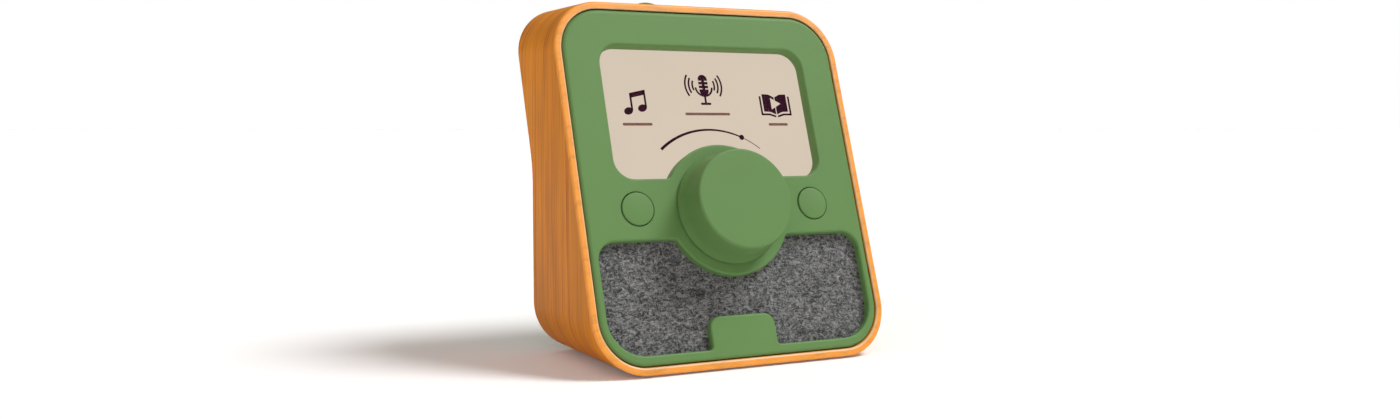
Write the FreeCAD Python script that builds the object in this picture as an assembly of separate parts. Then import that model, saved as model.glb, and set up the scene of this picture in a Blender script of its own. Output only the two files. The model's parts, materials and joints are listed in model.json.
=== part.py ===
import FreeCAD, Part

import math
import os

from FreeCAD import Placement, Rotation, Vector

# Table-top audio player for children, in millimetres.
# A bent-wood tube holds a leaning moulded face with a screen window, a big turning knob,
# two push buttons and a felt-covered speaker. A moulded cover closes the back.
# The object stands on Z = 0, its face looks towards -Y and +X is to the viewer's right.
# Places on the face are given as (x, up, depth): x from the middle, up along the slope
# from the middle of the face, and depth behind the face's front surface.

# Driving dimensions of the wooden shell
LEAN = 19.4
SHELL_W = 124.6
SHELL_H = 136.8
SHELL_R = 20.0
SHELL_WALL = 2.8
SHELL_D = 40.0
LOWER_BACK_Y = 44.0
BACK_BEND_R = 40.0

# Clearances and small shares that many pieces use
SEAT_GAP = 0.3
MOVE_GAP = 0.3
RUN_GAP = 0.03
BEYOND = 20.0

# Front panel
FACE_T = 2.4
FACE_EDGE_R = 1.6
SKIRT_T = 2.0
SKIRT_D = 12.0
RIM_T = 1.6

# Hub: the round land under the knob, measured down from the middle of the face
HUB_DROP = 11.6
HUB_R = 26.1
HUB_FILLET = 1.0

# Screen window and what lies behind it
SCREEN_SIDE = 14.8
SCREEN_BROW = 14.3
SCREEN_ABOVE_HUB = 12.8
SCREEN_R = 8.0
SCREEN_DEPTH = 4.6
LENS_LAP = 2.6
LENS_T = 1.2
DISPLAY_SIDE_LAP = 6.1
DISPLAY_LAP = 4.0
DISPLAY_T = 3.2
DISPLAY_R = 2.0
FRAME_T = 1.6
FRAME_MARGIN = 9.0
FRAME_WEB = 4.5
EAR_OUT = 3.1
EAR_IN = 11.0
EAR_R = 2.8

# Speaker window, felt and tab
SPEAKER_SIDE = 3.2
SPEAKER_RAIL = 4.2
SPEAKER_BELOW_HUB = 11.0
SPEAKER_TOP_R = 7.0
SPEAKER_LOW_R = 14.0
FELT_DEPTH = 3.2
FELT_T = 1.0
FELT_LAP = 1.1
TAB_X = -1.75
TAB_W = 27.7
TAB_H = 12.3
TAB_R = 4.5
TAB_FOOT_R = 1.5

# Knob and rotary switch
KNOB_R = 20.8
KNOB_TOP_R = 19.6
KNOB_PROUD = 14.8
KNOB_WALL = 2.0
KNOB_TOP_T = 2.4
KNOB_EDGE_R = 1.0
KNOB_BOSS_R = 5.5
KNOB_RIBS = 6
KNOB_RIB_T = 1.2
KNOB_TRAVEL = 0.5
SHAFT_R = 3.0
SHAFT_FLAT = 1.5
SHAFT_FLAT_L = 7.0
SHAFT_PROUD = 11.0
BUSHING_R = 3.5
BUSHING_PROUD = 3.0
NUT_FLATS = 10.0
NUT_T = 2.0
ENCODER_W = 13.0
ENCODER_T = 6.5
ENCODER_CORNER_R = 1.0
ENCODER_LID = 1.2
ROTOR_R = 4.6
ROTOR_T = 1.4
NIB_R = 1.6
NIB_T = 0.9
PUSH_R = 2.6
HUB_BOSS_R = 9.0
HUB_BOSS_T = 3.1

# Front buttons and the board behind them
BUTTON_SIDE = 21.2
BUTTON_ABOVE_HUB = 1.1
BUTTON_R = 6.35
BUTTON_PROUD = 0.4
BUTTON_DOME = 0.35
BUTTON_FLANGE = 1.2
BUTTON_FLANGE_T = 0.8
BUTTON_TRAVEL = 0.6
FLANGE_PLAY = 0.1
STEM_R = 2.2
SWITCH_W = 6.0
SWITCH_T = 3.5
SWITCH_CORNER_R = 0.4
PLUNGER_R = 1.7
PLUNGER_PROUD = 1.5
PLUNGER_SUNK = 1.2
BOARD_T = 1.6
BOARD_R = 1.5
KNOB_BOARD_SIDE = 6.0
KNOB_BOARD_UP = 8.9
KNOB_BOARD_DOWN = 9.0
BOARD_HOLE_IN = 10.0
BOARD_HOLE_UP = 5.3
BOARD_HOLE_DOWN = 6.0

# Baffle and speaker
BAFFLE_T = 2.4
BLIND = 0.4
PANEL_SCREW_TOP_X = 26.0
PANEL_SCREW_TOP_IN = 7.2
PANEL_SCREW_SIDE_IN = 5.8
PANEL_SCREW_SIDE_UP = 3.6
TAB_PAD_IN = 7.3
SLOT_W = 2.2
SLOT_PITCH = 4.4
DRIVER_MARGIN = 1.2
DRIVER_CORNER_R = 6.0
DRIVER_HOLE_IN = 3.7
DRIVER_RING = 2.4
GASKET_T = 1.0
FLANGE_T = 1.0
BASKET_D = 10.0
BASKET_TAPER = 4.2
BASKET_SHEET = 0.9
BASKET_WINDOWS = 4
CONE_THROAT_R = 5.6
CONE_D = 6.0
CONE_SHEET = 0.5
SURROUND_W = 3.2
SURROUND_H = 1.1
MAGNET_T = 8.0
MAGNET_STEP = 1.4
POLE_PLATE_T = 1.6

# Screws
SMALL_SCREW_R = 1.0
SMALL_SCREW_BITE = 4.0
SMALL_HEAD_R = 1.9
SMALL_HEAD_T = 1.2
SMALL_BOSS_R = 2.6
LONG_SCREW_R = 1.5
LONG_HEAD_R = 2.7
LONG_HEAD_T = 2.0
LONG_WELL_D = 7.0
LONG_TIP = 1.0
DRIVE_L = 2.2
DRIVE_W = 0.5
DRIVE_D = 0.6
LONG_DRIVE_L = 3.4
LONG_DRIVE_W = 0.8
LONG_DRIVE_D = 1.2

# Cleats, rear cover and its posts
CLEAT_INSET = 11.0
CLEAT_W = 17.5
CLEAT_H = 16.6
POST_SIDE = 13.3
POST_TOP = 12.4
POST_R = 4.0
COVER_INSET = 1.2
COVER_T = 2.4
COVER_SKIRT_T = 2.0
COVER_SKIRT_D = 6.0

# Main board and sockets
MAIN_SIDE = 22.3
MAIN_ABOVE_FLOOR = 13.6
MAIN_H = 44.0
MAIN_STANDOFF = 9.0
MAIN_HOLE_IN = 4.0
MAIN_SCREW_BITE = 7.0
STANDOFF_R = 2.8
SOCKET_UP = 8.0
USB_X = -14.0
USB_W = 9.2
USB_H = 3.4
USB_WALL = 0.3
USB_FLOOR = 2.0
USB_TONGUE_W = 6.6
USB_TONGUE_T = 0.7
JACK_X = 14.0
JACK_BORE_R = 1.8
JACK_BODY_W = 7.0
JACK_NOSE_R = 3.0
JACK_FLOOR = 1.0
CAN_W = 22.0
CAN_T = 2.6
CAN_R = 1.0
CAN_X = -20.0
CAN_UP = 26.0
CHIP_W = 9.0
CHIP_T = 1.4
PLUG_X = 27.0
PLUG_W = 4.5
PLUG_H = 6.3
PLUG_T = 4.0

# Battery and its cradle on the rear cover
BATTERY_SIDE = 31.3
BATTERY_ABOVE_SCREEN_LOW = 7.8
BATTERY_BELOW_SCREEN_HIGH = 9.9
BATTERY_T = 7.6
BATTERY_R = 3.0
CRADLE_WALL = 1.4
CRADLE_T = 1.4
CRADLE_EAR = 7.0
CRADLE_EAR_R = 0.5
CRADLE_RISE = 2.0

# Top button
TOP_X = -11.6
TOP_Y = 47.0
TOP_R = 6.5
TOP_PROUD = 3.0
TOP_DOME = 2.2
TOP_TRAVEL = 0.8
TOP_FLANGE = 1.2
TOP_FLANGE_T = 1.0
TOP_GUIDE_R = 9.8
TOP_GUIDE_T = 1.6
TOP_GUIDE_D = 6.0
TOP_POST_X = 9.0
TOP_POST_R = 2.2
TOP_BOARD_DROP = 12.0
TOP_BOARD_W = 24.0
TOP_BOARD_L = 14.0

# Feet
FOOT_R = 5.5
FOOT_PROUD = 0.8
FOOT_SUNK = 0.8
FOOT_SIDE = 9.3
FOOT_FRONT_Y = -12.0
FOOT_BACK_Y = 34.0

# The shell's inside and the face's place
SIN = math.sin(math.radians(LEAN))
COS = math.cos(math.radians(LEAN))
CENTRE_Y = -SHELL_D / (2 * COS)
CENTRE_Z = FOOT_PROUD + SHELL_H / 2
BORE_W = SHELL_W - 2 * SHELL_WALL
BORE_H = SHELL_H - 2 * SHELL_WALL
BORE_R = SHELL_R - SHELL_WALL
FACE = Placement(Vector(0, CENTRE_Y, CENTRE_Z), Rotation(Vector(1, 0, 0), 90 - LEAN))
PANEL_HALF_W = BORE_W / 2 - SEAT_GAP
PANEL_HALF_H = (BORE_H / 2 - SEAT_GAP) / COS

# Places on the face
HUB_UP = -HUB_DROP
SCREEN_W = 2 * (PANEL_HALF_W - SCREEN_SIDE + SEAT_GAP)
SCREEN_LOW = HUB_UP + SCREEN_ABOVE_HUB
SCREEN_HIGH = PANEL_HALF_H - SCREEN_BROW
SPEAKER_W = 2 * (PANEL_HALF_W - SPEAKER_SIDE)
SPEAKER_LOW = -PANEL_HALF_H + SPEAKER_RAIL
SPEAKER_HIGH = HUB_UP - SPEAKER_BELOW_HUB
TAB_TOP = SPEAKER_LOW + TAB_H
BUTTON_X = PANEL_HALF_W - BUTTON_SIDE
BUTTON_UP = HUB_UP + BUTTON_ABOVE_HUB
DISPLAY_W = SCREEN_W + 2 * DISPLAY_SIDE_LAP
EAR_X = DISPLAY_W / 2 + EAR_OUT
EAR_LOW = SCREEN_LOW - DISPLAY_LAP + EAR_IN
EAR_HIGH = SCREEN_HIGH + DISPLAY_LAP - EAR_IN
KNOB_BOARD_W = 2 * (BUTTON_X + KNOB_BOARD_SIDE)
KNOB_BOARD_LOW = HUB_UP - KNOB_BOARD_DOWN
KNOB_BOARD_HIGH = HUB_UP + KNOB_BOARD_UP
BOARD_HOLE_X = BUTTON_X - BOARD_HOLE_IN
DRIVER_UP = (SPEAKER_LOW + SPEAKER_HIGH) / 2
DRIVER_W = SPEAKER_HIGH - SPEAKER_LOW - 2 * DRIVER_MARGIN
DRIVER_HOLE = DRIVER_W / 2 - DRIVER_HOLE_IN
DRIVER_OPEN_R = DRIVER_W / 2 - DRIVER_RING
BASKET_BACK_R = DRIVER_OPEN_R - BASKET_TAPER
CONE_R = DRIVER_OPEN_R - SURROUND_W
MAGNET_R = BASKET_BACK_R + BASKET_SHEET
POLE_PLATE_R = MAGNET_R + MAGNET_STEP

# Depths behind the face
LENS_FRONT = SCREEN_DEPTH
LENS_BACK = LENS_FRONT + LENS_T
DISPLAY_BACK = LENS_BACK + DISPLAY_T
FRAME_BACK = DISPLAY_BACK + FRAME_T
FELT_BACK = FELT_DEPTH + FELT_T
BAFFLE_FRONT = FELT_BACK
BAFFLE_BACK = BAFFLE_FRONT + BAFFLE_T
BAFFLE_INSET = SEAT_GAP + SKIRT_T + SEAT_GAP
ENCODER_FRONT = FACE_T + HUB_BOSS_T
BOARD_FRONT = ENCODER_FRONT + ENCODER_T
BOARD_BACK = BOARD_FRONT + BOARD_T
ROTOR_FRONT = ENCODER_FRONT + ENCODER_LID
ROTOR_NEAR = ROTOR_FRONT + MOVE_GAP
PUSH_FRONT = ROTOR_NEAR + ROTOR_T + NIB_T
PUSH_BACK = BOARD_FRONT - KNOB_TRAVEL - MOVE_GAP
KNOB_GAP = KNOB_TRAVEL + MOVE_GAP
FLANGE_R = BUTTON_R + BUTTON_FLANGE
SWITCH_FRONT = BOARD_FRONT - SWITCH_T
PLUNGER_TIP = SWITCH_FRONT - PLUNGER_PROUD
GASKET_BACK = BAFFLE_BACK + GASKET_T
FLANGE_BACK = GASKET_BACK + FLANGE_T
BASKET_BACK = FLANGE_BACK + BASKET_D
COVER_FRONT = COVER_INSET + COVER_T
CRADLE_BACK = SHELL_D - COVER_FRONT - CRADLE_RISE
BATTERY_BACK = CRADLE_BACK - CRADLE_T
BATTERY_FRONT = BATTERY_BACK - BATTERY_T

# Places inside, measured from the middle of the shell
POST_X = SHELL_W / 2 - POST_SIDE
POST_Z = SHELL_H / 2 - POST_TOP
CLEAT_X = BORE_W / 2 - CLEAT_W
CLEAT_Z = BORE_H / 2 - CLEAT_H
MAIN_W = SHELL_W - 2 * MAIN_SIDE
MAIN_LOW = MAIN_ABOVE_FLOOR - BORE_H / 2
MAIN_HIGH = MAIN_LOW + MAIN_H
MAIN_HOLE_X = MAIN_W / 2 - MAIN_HOLE_IN
SOCKET_Z = MAIN_LOW + SOCKET_UP
CAN_Z = MAIN_LOW + CAN_UP
BATTERY_W = SHELL_W - 2 * BATTERY_SIDE
BATTERY_LOW = SCREEN_LOW + BATTERY_ABOVE_SCREEN_LOW
BATTERY_HIGH = SCREEN_HIGH - BATTERY_BELOW_SCREEN_HIGH
FOOT_X = SHELL_W / 2 - SHELL_R - FOOT_SIDE

# Heights and places of the top button
TOP_MID_Y = CENTRE_Y + TOP_Y
SHELL_TOP = CENTRE_Z + SHELL_H / 2
CEILING = SHELL_TOP - SHELL_WALL
GUIDE_LOW = CEILING - TOP_GUIDE_T
TOP_FLANGE_HIGH = GUIDE_LOW - FLANGE_PLAY
TOP_BOARD_HIGH = CEILING - TOP_BOARD_DROP
TOP_SWITCH_HIGH = TOP_BOARD_HIGH + SWITCH_T
TOP_PLUNGER_TIP = TOP_SWITCH_HIGH + PLUNGER_PROUD


def rounded_wire(x0, x1, y0, y1, low_r, high_r):
    """A closed outline in the XY plane with its own radius at the low and high corners."""
    def arc(cx, cy, r, start):
        circle = Part.Circle(Vector(cx, cy, 0), Vector(0, 0, 1), r)
        return Part.Arc(circle, math.radians(start), math.radians(start + 90)).toShape()

    def line(ax, ay, bx, by):
        return Part.LineSegment(Vector(ax, ay, 0), Vector(bx, by, 0)).toShape()

    return Part.Wire([
        line(x0 + low_r, y0, x1 - low_r, y0),
        arc(x1 - low_r, y0 + low_r, low_r, 270),
        line(x1, y0 + low_r, x1, y1 - high_r),
        arc(x1 - high_r, y1 - high_r, high_r, 0),
        line(x1 - high_r, y1, x0 + high_r, y1),
        arc(x0 + high_r, y1 - high_r, high_r, 90),
        line(x0, y1 - high_r, x0, y0 + low_r),
        arc(x0 + low_r, y0 + low_r, low_r, 180),
    ])


def plate(x0, x1, low, high, near, far, low_r, high_r=None):
    """A rounded plate on the face, between two depths."""
    outline = rounded_wire(x0, x1, low, high, low_r, low_r if high_r is None else high_r)
    solid = Part.Face(outline).extrude(Vector(0, 0, far - near))
    solid.translate(Vector(0, 0, -far))
    return solid


def disc(x, up, radius, near, far):
    """A round bar along the face's normal, between two depths."""
    return Part.makeCylinder(radius, far - near, Vector(x, up, -far), Vector(0, 0, 1))


def taper(x, up, near_r, far_r, near, far):
    """A cone along the face's normal, between two depths."""
    return Part.makeCone(far_r, near_r, far - near, Vector(x, up, -far), Vector(0, 0, 1))


def ring(x, up, outer, inner, near, far):
    return disc(x, up, outer, near, far).cut(disc(x, up, inner, near, far))


def turned(x, up, profile):
    """A body turned about an axis along the face's normal; profile holds (radius, depth)."""
    points = [Vector(x + r, up, -depth) for r, depth in profile]
    face = Part.Face(Part.makePolygon(points + points[:1]))
    return face.revolve(Vector(x, up, 0), Vector(0, 0, 1), 360)


def seat(shape):
    """Carries a shape from the face's own directions to its place in the object."""
    moved = shape.copy()
    moved.Placement = FACE.multiply(moved.Placement)
    return moved


def bore_bar(inset, width=BORE_W, height=BORE_H, radius=BORE_R):
    """The tube's section, made smaller all round by inset, as a long bar along Y."""
    outline = rounded_wire(
        inset - width / 2, width / 2 - inset, inset - height / 2, height / 2 - inset,
        radius - inset, radius - inset)
    bar = Part.Face(outline).extrude(Vector(0, 0, 4 * SHELL_W))
    bar.rotate(Vector(0, 0, 0), Vector(1, 0, 0), 90)
    bar.translate(Vector(0, 2 * SHELL_W, CENTRE_Z))
    return bar


def back_line(inset):
    """The back's side profile, moved inwards: (y, z) of top, bend start, middle, end, bottom."""
    half = math.radians(LEAN) / 2
    bisector = Vector(0, math.cos(half), math.sin(half))
    corner_rise = (LOWER_BACK_Y - SHELL_D / COS) * COS / SIN
    corner = Vector(0, CENTRE_Y + LOWER_BACK_Y, CENTRE_Z + corner_rise)
    corner = corner - bisector * (inset / math.cos(half))
    radius = BACK_BEND_R + inset
    tangent = radius * math.tan(half)
    rise = SHELL_H + BEYOND
    up = Vector(0, SIN, COS)
    return (corner + up * rise, corner + up * tangent,
            corner + bisector * (radius / math.cos(half) - radius),
            corner - Vector(0, 0, tangent), corner - Vector(0, 0, rise))


def front_line(depth):
    """Two far points on the plane that lies depth behind the face."""
    up = Vector(0, SIN, COS)
    start = Vector(0, CENTRE_Y, CENTRE_Z) + Vector(0, COS, -SIN) * depth
    return start - up * (SHELL_H + BEYOND), start + up * (SHELL_H + BEYOND)


def body_space(depth, inset):
    """All space between the plane at a depth behind the face and the back moved inwards."""
    low, high = front_line(depth)
    top, bend_start, bend_mid, bend_end, bottom = back_line(inset)
    outline = Part.Wire([
        Part.LineSegment(low, high).toShape(),
        Part.LineSegment(high, top).toShape(),
        Part.LineSegment(top, bend_start).toShape(),
        Part.Arc(bend_start, bend_mid, bend_end).toShape(),
        Part.LineSegment(bend_end, bottom).toShape(),
        Part.LineSegment(bottom, low).toShape(),
    ])
    solid = Part.Face(outline).extrude(Vector(2 * SHELL_W, 0, 0))
    solid.translate(Vector(-SHELL_W, 0, 0))
    return solid


def slab(near, far):
    """All space between two depths behind the face."""
    reach = SHELL_H + BEYOND
    box = Part.makeBox(2 * reach, 2 * reach, far - near, Vector(-reach, -reach, -far))
    return seat(box)


def bar_y(x, z, radius, y0, y1):
    """A round bar along Y; z is measured from the middle of the shell."""
    return Part.makeCylinder(radius, y1 - y0, Vector(x, y0, CENTRE_Z + z), Vector(0, 1, 0))


def bar_z(x, y, radius, z0, z1):
    return Part.makeCylinder(radius, z1 - z0, Vector(x, y, z0), Vector(0, 0, 1))


def box_y(x, z, width, height, y0, y1):
    """A box along Y, centred on x and on a height measured from the middle of the shell."""
    corner = Vector(x - width / 2, y0, CENTRE_Z + z - height / 2)
    return Part.makeBox(width, y1 - y0, height, corner)


def oval_y(x, z, width, height, y0, y1):
    """A bar with half-round sides along Y, centred as box_y is."""
    side = height / 2
    bar = box_y(x, z, width - height, height, y0, y1)
    bar = bar.fuse(bar_y(x - width / 2 + side, z, side, y0, y1))
    return bar.fuse(bar_y(x + width / 2 - side, z, side, y0, y1)).removeSplitter()


def round_upright_edges(solid, spots, radius):
    """Rounds the edges that run along the face's normal through the given (x, up) spots."""
    chosen = []
    for edge in solid.Edges:
        ends = [vertex.Point for vertex in edge.Vertexes]
        if len(ends) != 2 or abs(ends[0].z - ends[1].z) < 0.1:
            continue
        if abs(ends[0].x - ends[1].x) > 0.01 or abs(ends[0].y - ends[1].y) > 0.01:
            continue
        if any(math.hypot(ends[0].x - x, ends[0].y - up) < 0.05 for x, up in spots):
            chosen.append(edge)
    return solid.makeFillet(radius, chosen)


def circle_cross(radius, rise):
    """Half the chord of a circle at a height above its middle."""
    return math.sqrt(radius * radius - rise * rise)


def screen_window(grow, near, far):
    """The screen window's space, with the hub standing into its lower edge."""
    half = SCREEN_W / 2 + grow
    low = SCREEN_LOW - grow
    hub = HUB_R - grow
    space = plate(-half, half, low, SCREEN_HIGH + grow, near, far, SCREEN_R + grow)
    space = space.cut(disc(0, HUB_UP, hub, near - 1, far + 1))
    cross = circle_cross(hub, low - HUB_UP)
    return round_upright_edges(space, [(-cross, low), (cross, low)], HUB_FILLET + grow)


def speaker_window(grow, near, far):
    """The speaker window's space, with the hub above and the tab below standing into it."""
    half = SPEAKER_W / 2 + grow
    low = SPEAKER_LOW - grow
    high = SPEAKER_HIGH + grow
    hub = HUB_R - grow
    tab_half = TAB_W / 2 - grow
    space = plate(-half, half, low, high, near, far, SPEAKER_LOW_R + grow, SPEAKER_TOP_R + grow)
    space = space.cut(disc(0, HUB_UP, hub, near - 1, far + 1))
    tab = plate(TAB_X - tab_half, TAB_X + tab_half, low - BEYOND, TAB_TOP - grow,
                near - 1, far + 1, TAB_R - grow)
    space = space.cut(tab)
    cross = circle_cross(hub, high - HUB_UP)
    space = round_upright_edges(space, [(-cross, high), (cross, high)], HUB_FILLET + grow)
    feet = [(TAB_X - tab_half, low), (TAB_X + tab_half, low)]
    return round_upright_edges(space, feet, TAB_FOOT_R + grow)


def panel_screw_spots():
    top = PANEL_HALF_H - PANEL_SCREW_TOP_IN
    side = PANEL_HALF_W - PANEL_SCREW_SIDE_IN
    waist = HUB_UP + PANEL_SCREW_SIDE_UP
    return [(-PANEL_SCREW_TOP_X, top), (PANEL_SCREW_TOP_X, top), (-side, waist), (side, waist)]


def ear_spots():
    return [(side * EAR_X, up) for side in (-1, 1) for up in (EAR_LOW, EAR_HIGH)]


def knob_board_spots():
    ups = (HUB_UP - BOARD_HOLE_DOWN, HUB_UP + BOARD_HOLE_UP)
    return [(side * BOARD_HOLE_X, up) for side in (-1, 1) for up in ups]


def driver_spots():
    return [(a * DRIVER_HOLE, DRIVER_UP + b * DRIVER_HOLE) for a in (-1, 1) for b in (-1, 1)]


def post_spots():
    return [(a * POST_X, b * POST_Z) for a in (-1, 1) for b in (-1, 1)]


def screw(shank_r, length, head_r, head_t, drive_l, drive_w, drive_d):
    """A screw along Z: its head stands on Z = 0 with a cross recess, its shank hangs below."""
    solid = Part.makeCylinder(shank_r, length, Vector(0, 0, -length))
    solid = solid.fuse(Part.makeCylinder(head_r, head_t))
    for width, depth in ((drive_l, drive_w), (drive_w, drive_l)):
        solid = solid.cut(Part.makeBox(width, depth, drive_d,
                                       Vector(-width / 2, -depth / 2, head_t - drive_d)))
    return solid


def placed(shape, x, y, z, turn):
    """Turns a shape about X by some degrees, then moves it."""
    shape.Placement = Placement(Vector(x, y, z), Rotation(Vector(1, 0, 0), turn))
    return shape


def small_screw(length):
    return screw(SMALL_SCREW_R, length, SMALL_HEAD_R, SMALL_HEAD_T, DRIVE_L, DRIVE_W, DRIVE_D)


def face_screw(x, up, head_front, tip):
    """A small screw driven from behind: its head sits at a depth, its tip nearer the face."""
    return placed(small_screw(head_front - tip), x, up, -head_front, 180)


def cut_holes(solid, spots, radius, near, far):
    for x, up in spots:
        solid = solid.cut(disc(x, up, radius, near, far))
    return solid


def wood_shell():
    tube = bore_bar(0, SHELL_W, SHELL_H, SHELL_R).cut(bore_bar(0))
    shell = tube.common(body_space(0, 0))
    hole = bar_z(TOP_X, CENTRE_Y + TOP_Y, TOP_R + MOVE_GAP, CENTRE_Z, CENTRE_Z + SHELL_H)
    shell = shell.cut(hole)
    for x, y in foot_spots():
        shell = shell.cut(bar_z(x, y, FOOT_R, 0, FOOT_PROUD + FOOT_SUNK))
    return shell


def foot_spots():
    return [(side * FOOT_X, CENTRE_Y + y) for side in (-1, 1) for y in (FOOT_FRONT_Y, FOOT_BACK_Y)]


def rubber_feet():
    return [bar_z(x, y, FOOT_R, 0, FOOT_PROUD + FOOT_SUNK) for x, y in foot_spots()]


def front_panel():
    blank = bore_bar(SEAT_GAP).common(slab(0, SKIRT_D))
    low, high = front_line(0)
    rim = [edge for edge in blank.Edges
           if all(abs(vertex.Point.distanceToPlane(low, Vector(0, -COS, SIN))) < 0.01
                  for vertex in edge.Vertexes)]
    blank = blank.makeFillet(FACE_EDGE_R, rim)
    hollow = bore_bar(SEAT_GAP + SKIRT_T).common(slab(FACE_T, SKIRT_D + 1))
    panel = blank.cut(hollow)

    lands = screen_window(RIM_T, FACE_T, SCREEN_DEPTH)
    lands = lands.fuse(speaker_window(RIM_T - SEAT_GAP, FACE_T, FELT_DEPTH))
    for x, up in panel_screw_spots():
        lands = lands.fuse(disc(x, up, SMALL_BOSS_R, FACE_T, BAFFLE_FRONT))
    for side in (-1, 1):
        lands = lands.fuse(disc(side * BUTTON_X, BUTTON_UP, FLANGE_R + MOVE_GAP + RIM_T,
                                FACE_T, BAFFLE_FRONT))
    lands = lands.fuse(disc(0, HUB_UP, HUB_BOSS_R, FACE_T, ENCODER_FRONT))
    lands = lands.fuse(disc(TAB_X, TAB_TOP - TAB_PAD_IN, SMALL_BOSS_R, FACE_T, BAFFLE_FRONT))
    panel = panel.fuse(seat(lands))

    cuts = screen_window(0, -1, SCREEN_DEPTH + 1)
    cuts = cuts.fuse(speaker_window(0, -1, FELT_DEPTH + 1))
    for side in (-1, 1):
        cuts = cuts.fuse(disc(side * BUTTON_X, BUTTON_UP, BUTTON_R + MOVE_GAP, -1, FACE_T))
        cuts = cuts.fuse(disc(side * BUTTON_X, BUTTON_UP, FLANGE_R + MOVE_GAP,
                              FACE_T, BAFFLE_FRONT))
    cuts = cuts.fuse(disc(0, HUB_UP, BUSHING_R + RUN_GAP, -1, ENCODER_FRONT))
    for x, up in panel_screw_spots():
        cuts = cuts.fuse(disc(x, up, SMALL_SCREW_R, FACE_T / 2, BAFFLE_FRONT))
    return panel.cut(seat(cuts)).removeSplitter()


def screen_lens():
    space = plate(-SCREEN_W / 2 - LENS_LAP, SCREEN_W / 2 + LENS_LAP, SCREEN_LOW - LENS_LAP,
                  SCREEN_HIGH + LENS_LAP, LENS_FRONT, LENS_BACK, SCREEN_R)
    return seat(space)


def display_outline(grow, near, far):
    half = DISPLAY_W / 2 + grow
    return plate(-half, half, SCREEN_LOW - DISPLAY_LAP - grow, SCREEN_HIGH + DISPLAY_LAP + grow,
                 near, far, DISPLAY_R)


def display_module():
    return seat(display_outline(0, LENS_BACK, DISPLAY_BACK))


def display_frame():
    frame = display_outline(0, DISPLAY_BACK, FRAME_BACK)
    for x, up in ear_spots():
        frame = frame.fuse(disc(x, up, EAR_R, DISPLAY_BACK, FRAME_BACK))
        inner = x - math.copysign(EAR_R + 2, x)
        frame = frame.fuse(plate(min(x, inner), max(x, inner), up - EAR_R, up + EAR_R,
                                 DISPLAY_BACK, FRAME_BACK, DISPLAY_R / 2))
    half = DISPLAY_W / 2 - FRAME_MARGIN
    middle = (SCREEN_LOW + SCREEN_HIGH) / 2
    low = SCREEN_LOW - DISPLAY_LAP + FRAME_MARGIN
    high = SCREEN_HIGH + DISPLAY_LAP - FRAME_MARGIN
    web = FRAME_WEB / 2
    for x0, x1 in ((-half, -web), (web, half)):
        for y0, y1 in ((low, middle - web), (middle + web, high)):
            frame = frame.cut(plate(x0, x1, y0, y1, DISPLAY_BACK, FRAME_BACK, DISPLAY_R))
    return seat(cut_holes(frame, ear_spots(), SMALL_SCREW_R, DISPLAY_BACK, FRAME_BACK))


def display_screws():
    return [seat(face_screw(x, up, FRAME_BACK, BAFFLE_FRONT + BLIND)) for x, up in ear_spots()]


def speaker_felt():
    """A sheet that follows the window, reaches a little under its land and clears the skirt."""
    return seat(speaker_window(FELT_LAP, FELT_DEPTH, FELT_BACK)).common(bore_bar(BAFFLE_INSET))


def sound_slots():
    """Upright slots in the baffle, each as long as the driver's opening is there."""
    count = int(DRIVER_OPEN_R / SLOT_PITCH)
    slots = []
    for step in range(-count, count + 1):
        x = step * SLOT_PITCH
        half = circle_cross(DRIVER_OPEN_R, abs(x)) - SLOT_W / 2
        slots.append(plate(x - SLOT_W / 2, x + SLOT_W / 2, DRIVER_UP - half, DRIVER_UP + half,
                           BAFFLE_FRONT, BAFFLE_BACK, SLOT_W / 2 - 0.01))
    return slots


def baffle():
    sheet = bore_bar(BAFFLE_INSET).common(slab(BAFFLE_FRONT, BAFFLE_BACK))
    bosses = []
    for x, up in ear_spots():
        bosses.append(disc(x, up, SMALL_BOSS_R, BAFFLE_BACK, DISPLAY_BACK))
    for x, up in knob_board_spots():
        bosses.append(disc(x, up, SMALL_BOSS_R, BAFFLE_BACK, BOARD_FRONT))
    raised = seat(Part.makeCompound(bosses))
    for x, z in post_spots():
        post = bar_y(x, z, POST_R, CENTRE_Y - SHELL_D, CENTRE_Y + SHELL_D)
        sheet = sheet.fuse(post.common(slab(BAFFLE_FRONT, SKIRT_D)))
    sheet = sheet.fuse(raised)

    cuts = [display_outline(SEAT_GAP, BAFFLE_FRONT, SKIRT_D)]
    cuts.append(disc(0, HUB_UP, HUB_BOSS_R + SEAT_GAP, BAFFLE_FRONT, BAFFLE_BACK))
    for side in (-1, 1):
        cuts.append(disc(side * BUTTON_X, BUTTON_UP, STEM_R + MOVE_GAP, BAFFLE_FRONT, BAFFLE_BACK))
    cuts.extend(sound_slots())
    for x, up in panel_screw_spots():
        cuts.append(disc(x, up, SMALL_SCREW_R, BAFFLE_FRONT, BAFFLE_BACK))
    for x, up in driver_spots():
        cuts.append(disc(x, up, SMALL_SCREW_R, BAFFLE_FRONT + BLIND, BAFFLE_BACK))
    for x, up in ear_spots():
        cuts.append(disc(x, up, SMALL_SCREW_R, BAFFLE_FRONT + BLIND, DISPLAY_BACK))
    for x, up in knob_board_spots():
        cuts.append(disc(x, up, SMALL_SCREW_R, BAFFLE_BACK, BOARD_FRONT))
    for cut in cuts:
        sheet = sheet.cut(seat(cut))
    for x, z in post_spots():
        sheet = sheet.cut(long_screw_bar(x, z, LONG_SCREW_R))
    return sheet


def panel_screws():
    return [seat(face_screw(x, up, BAFFLE_BACK, FACE_T / 2)) for x, up in panel_screw_spots()]


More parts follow.
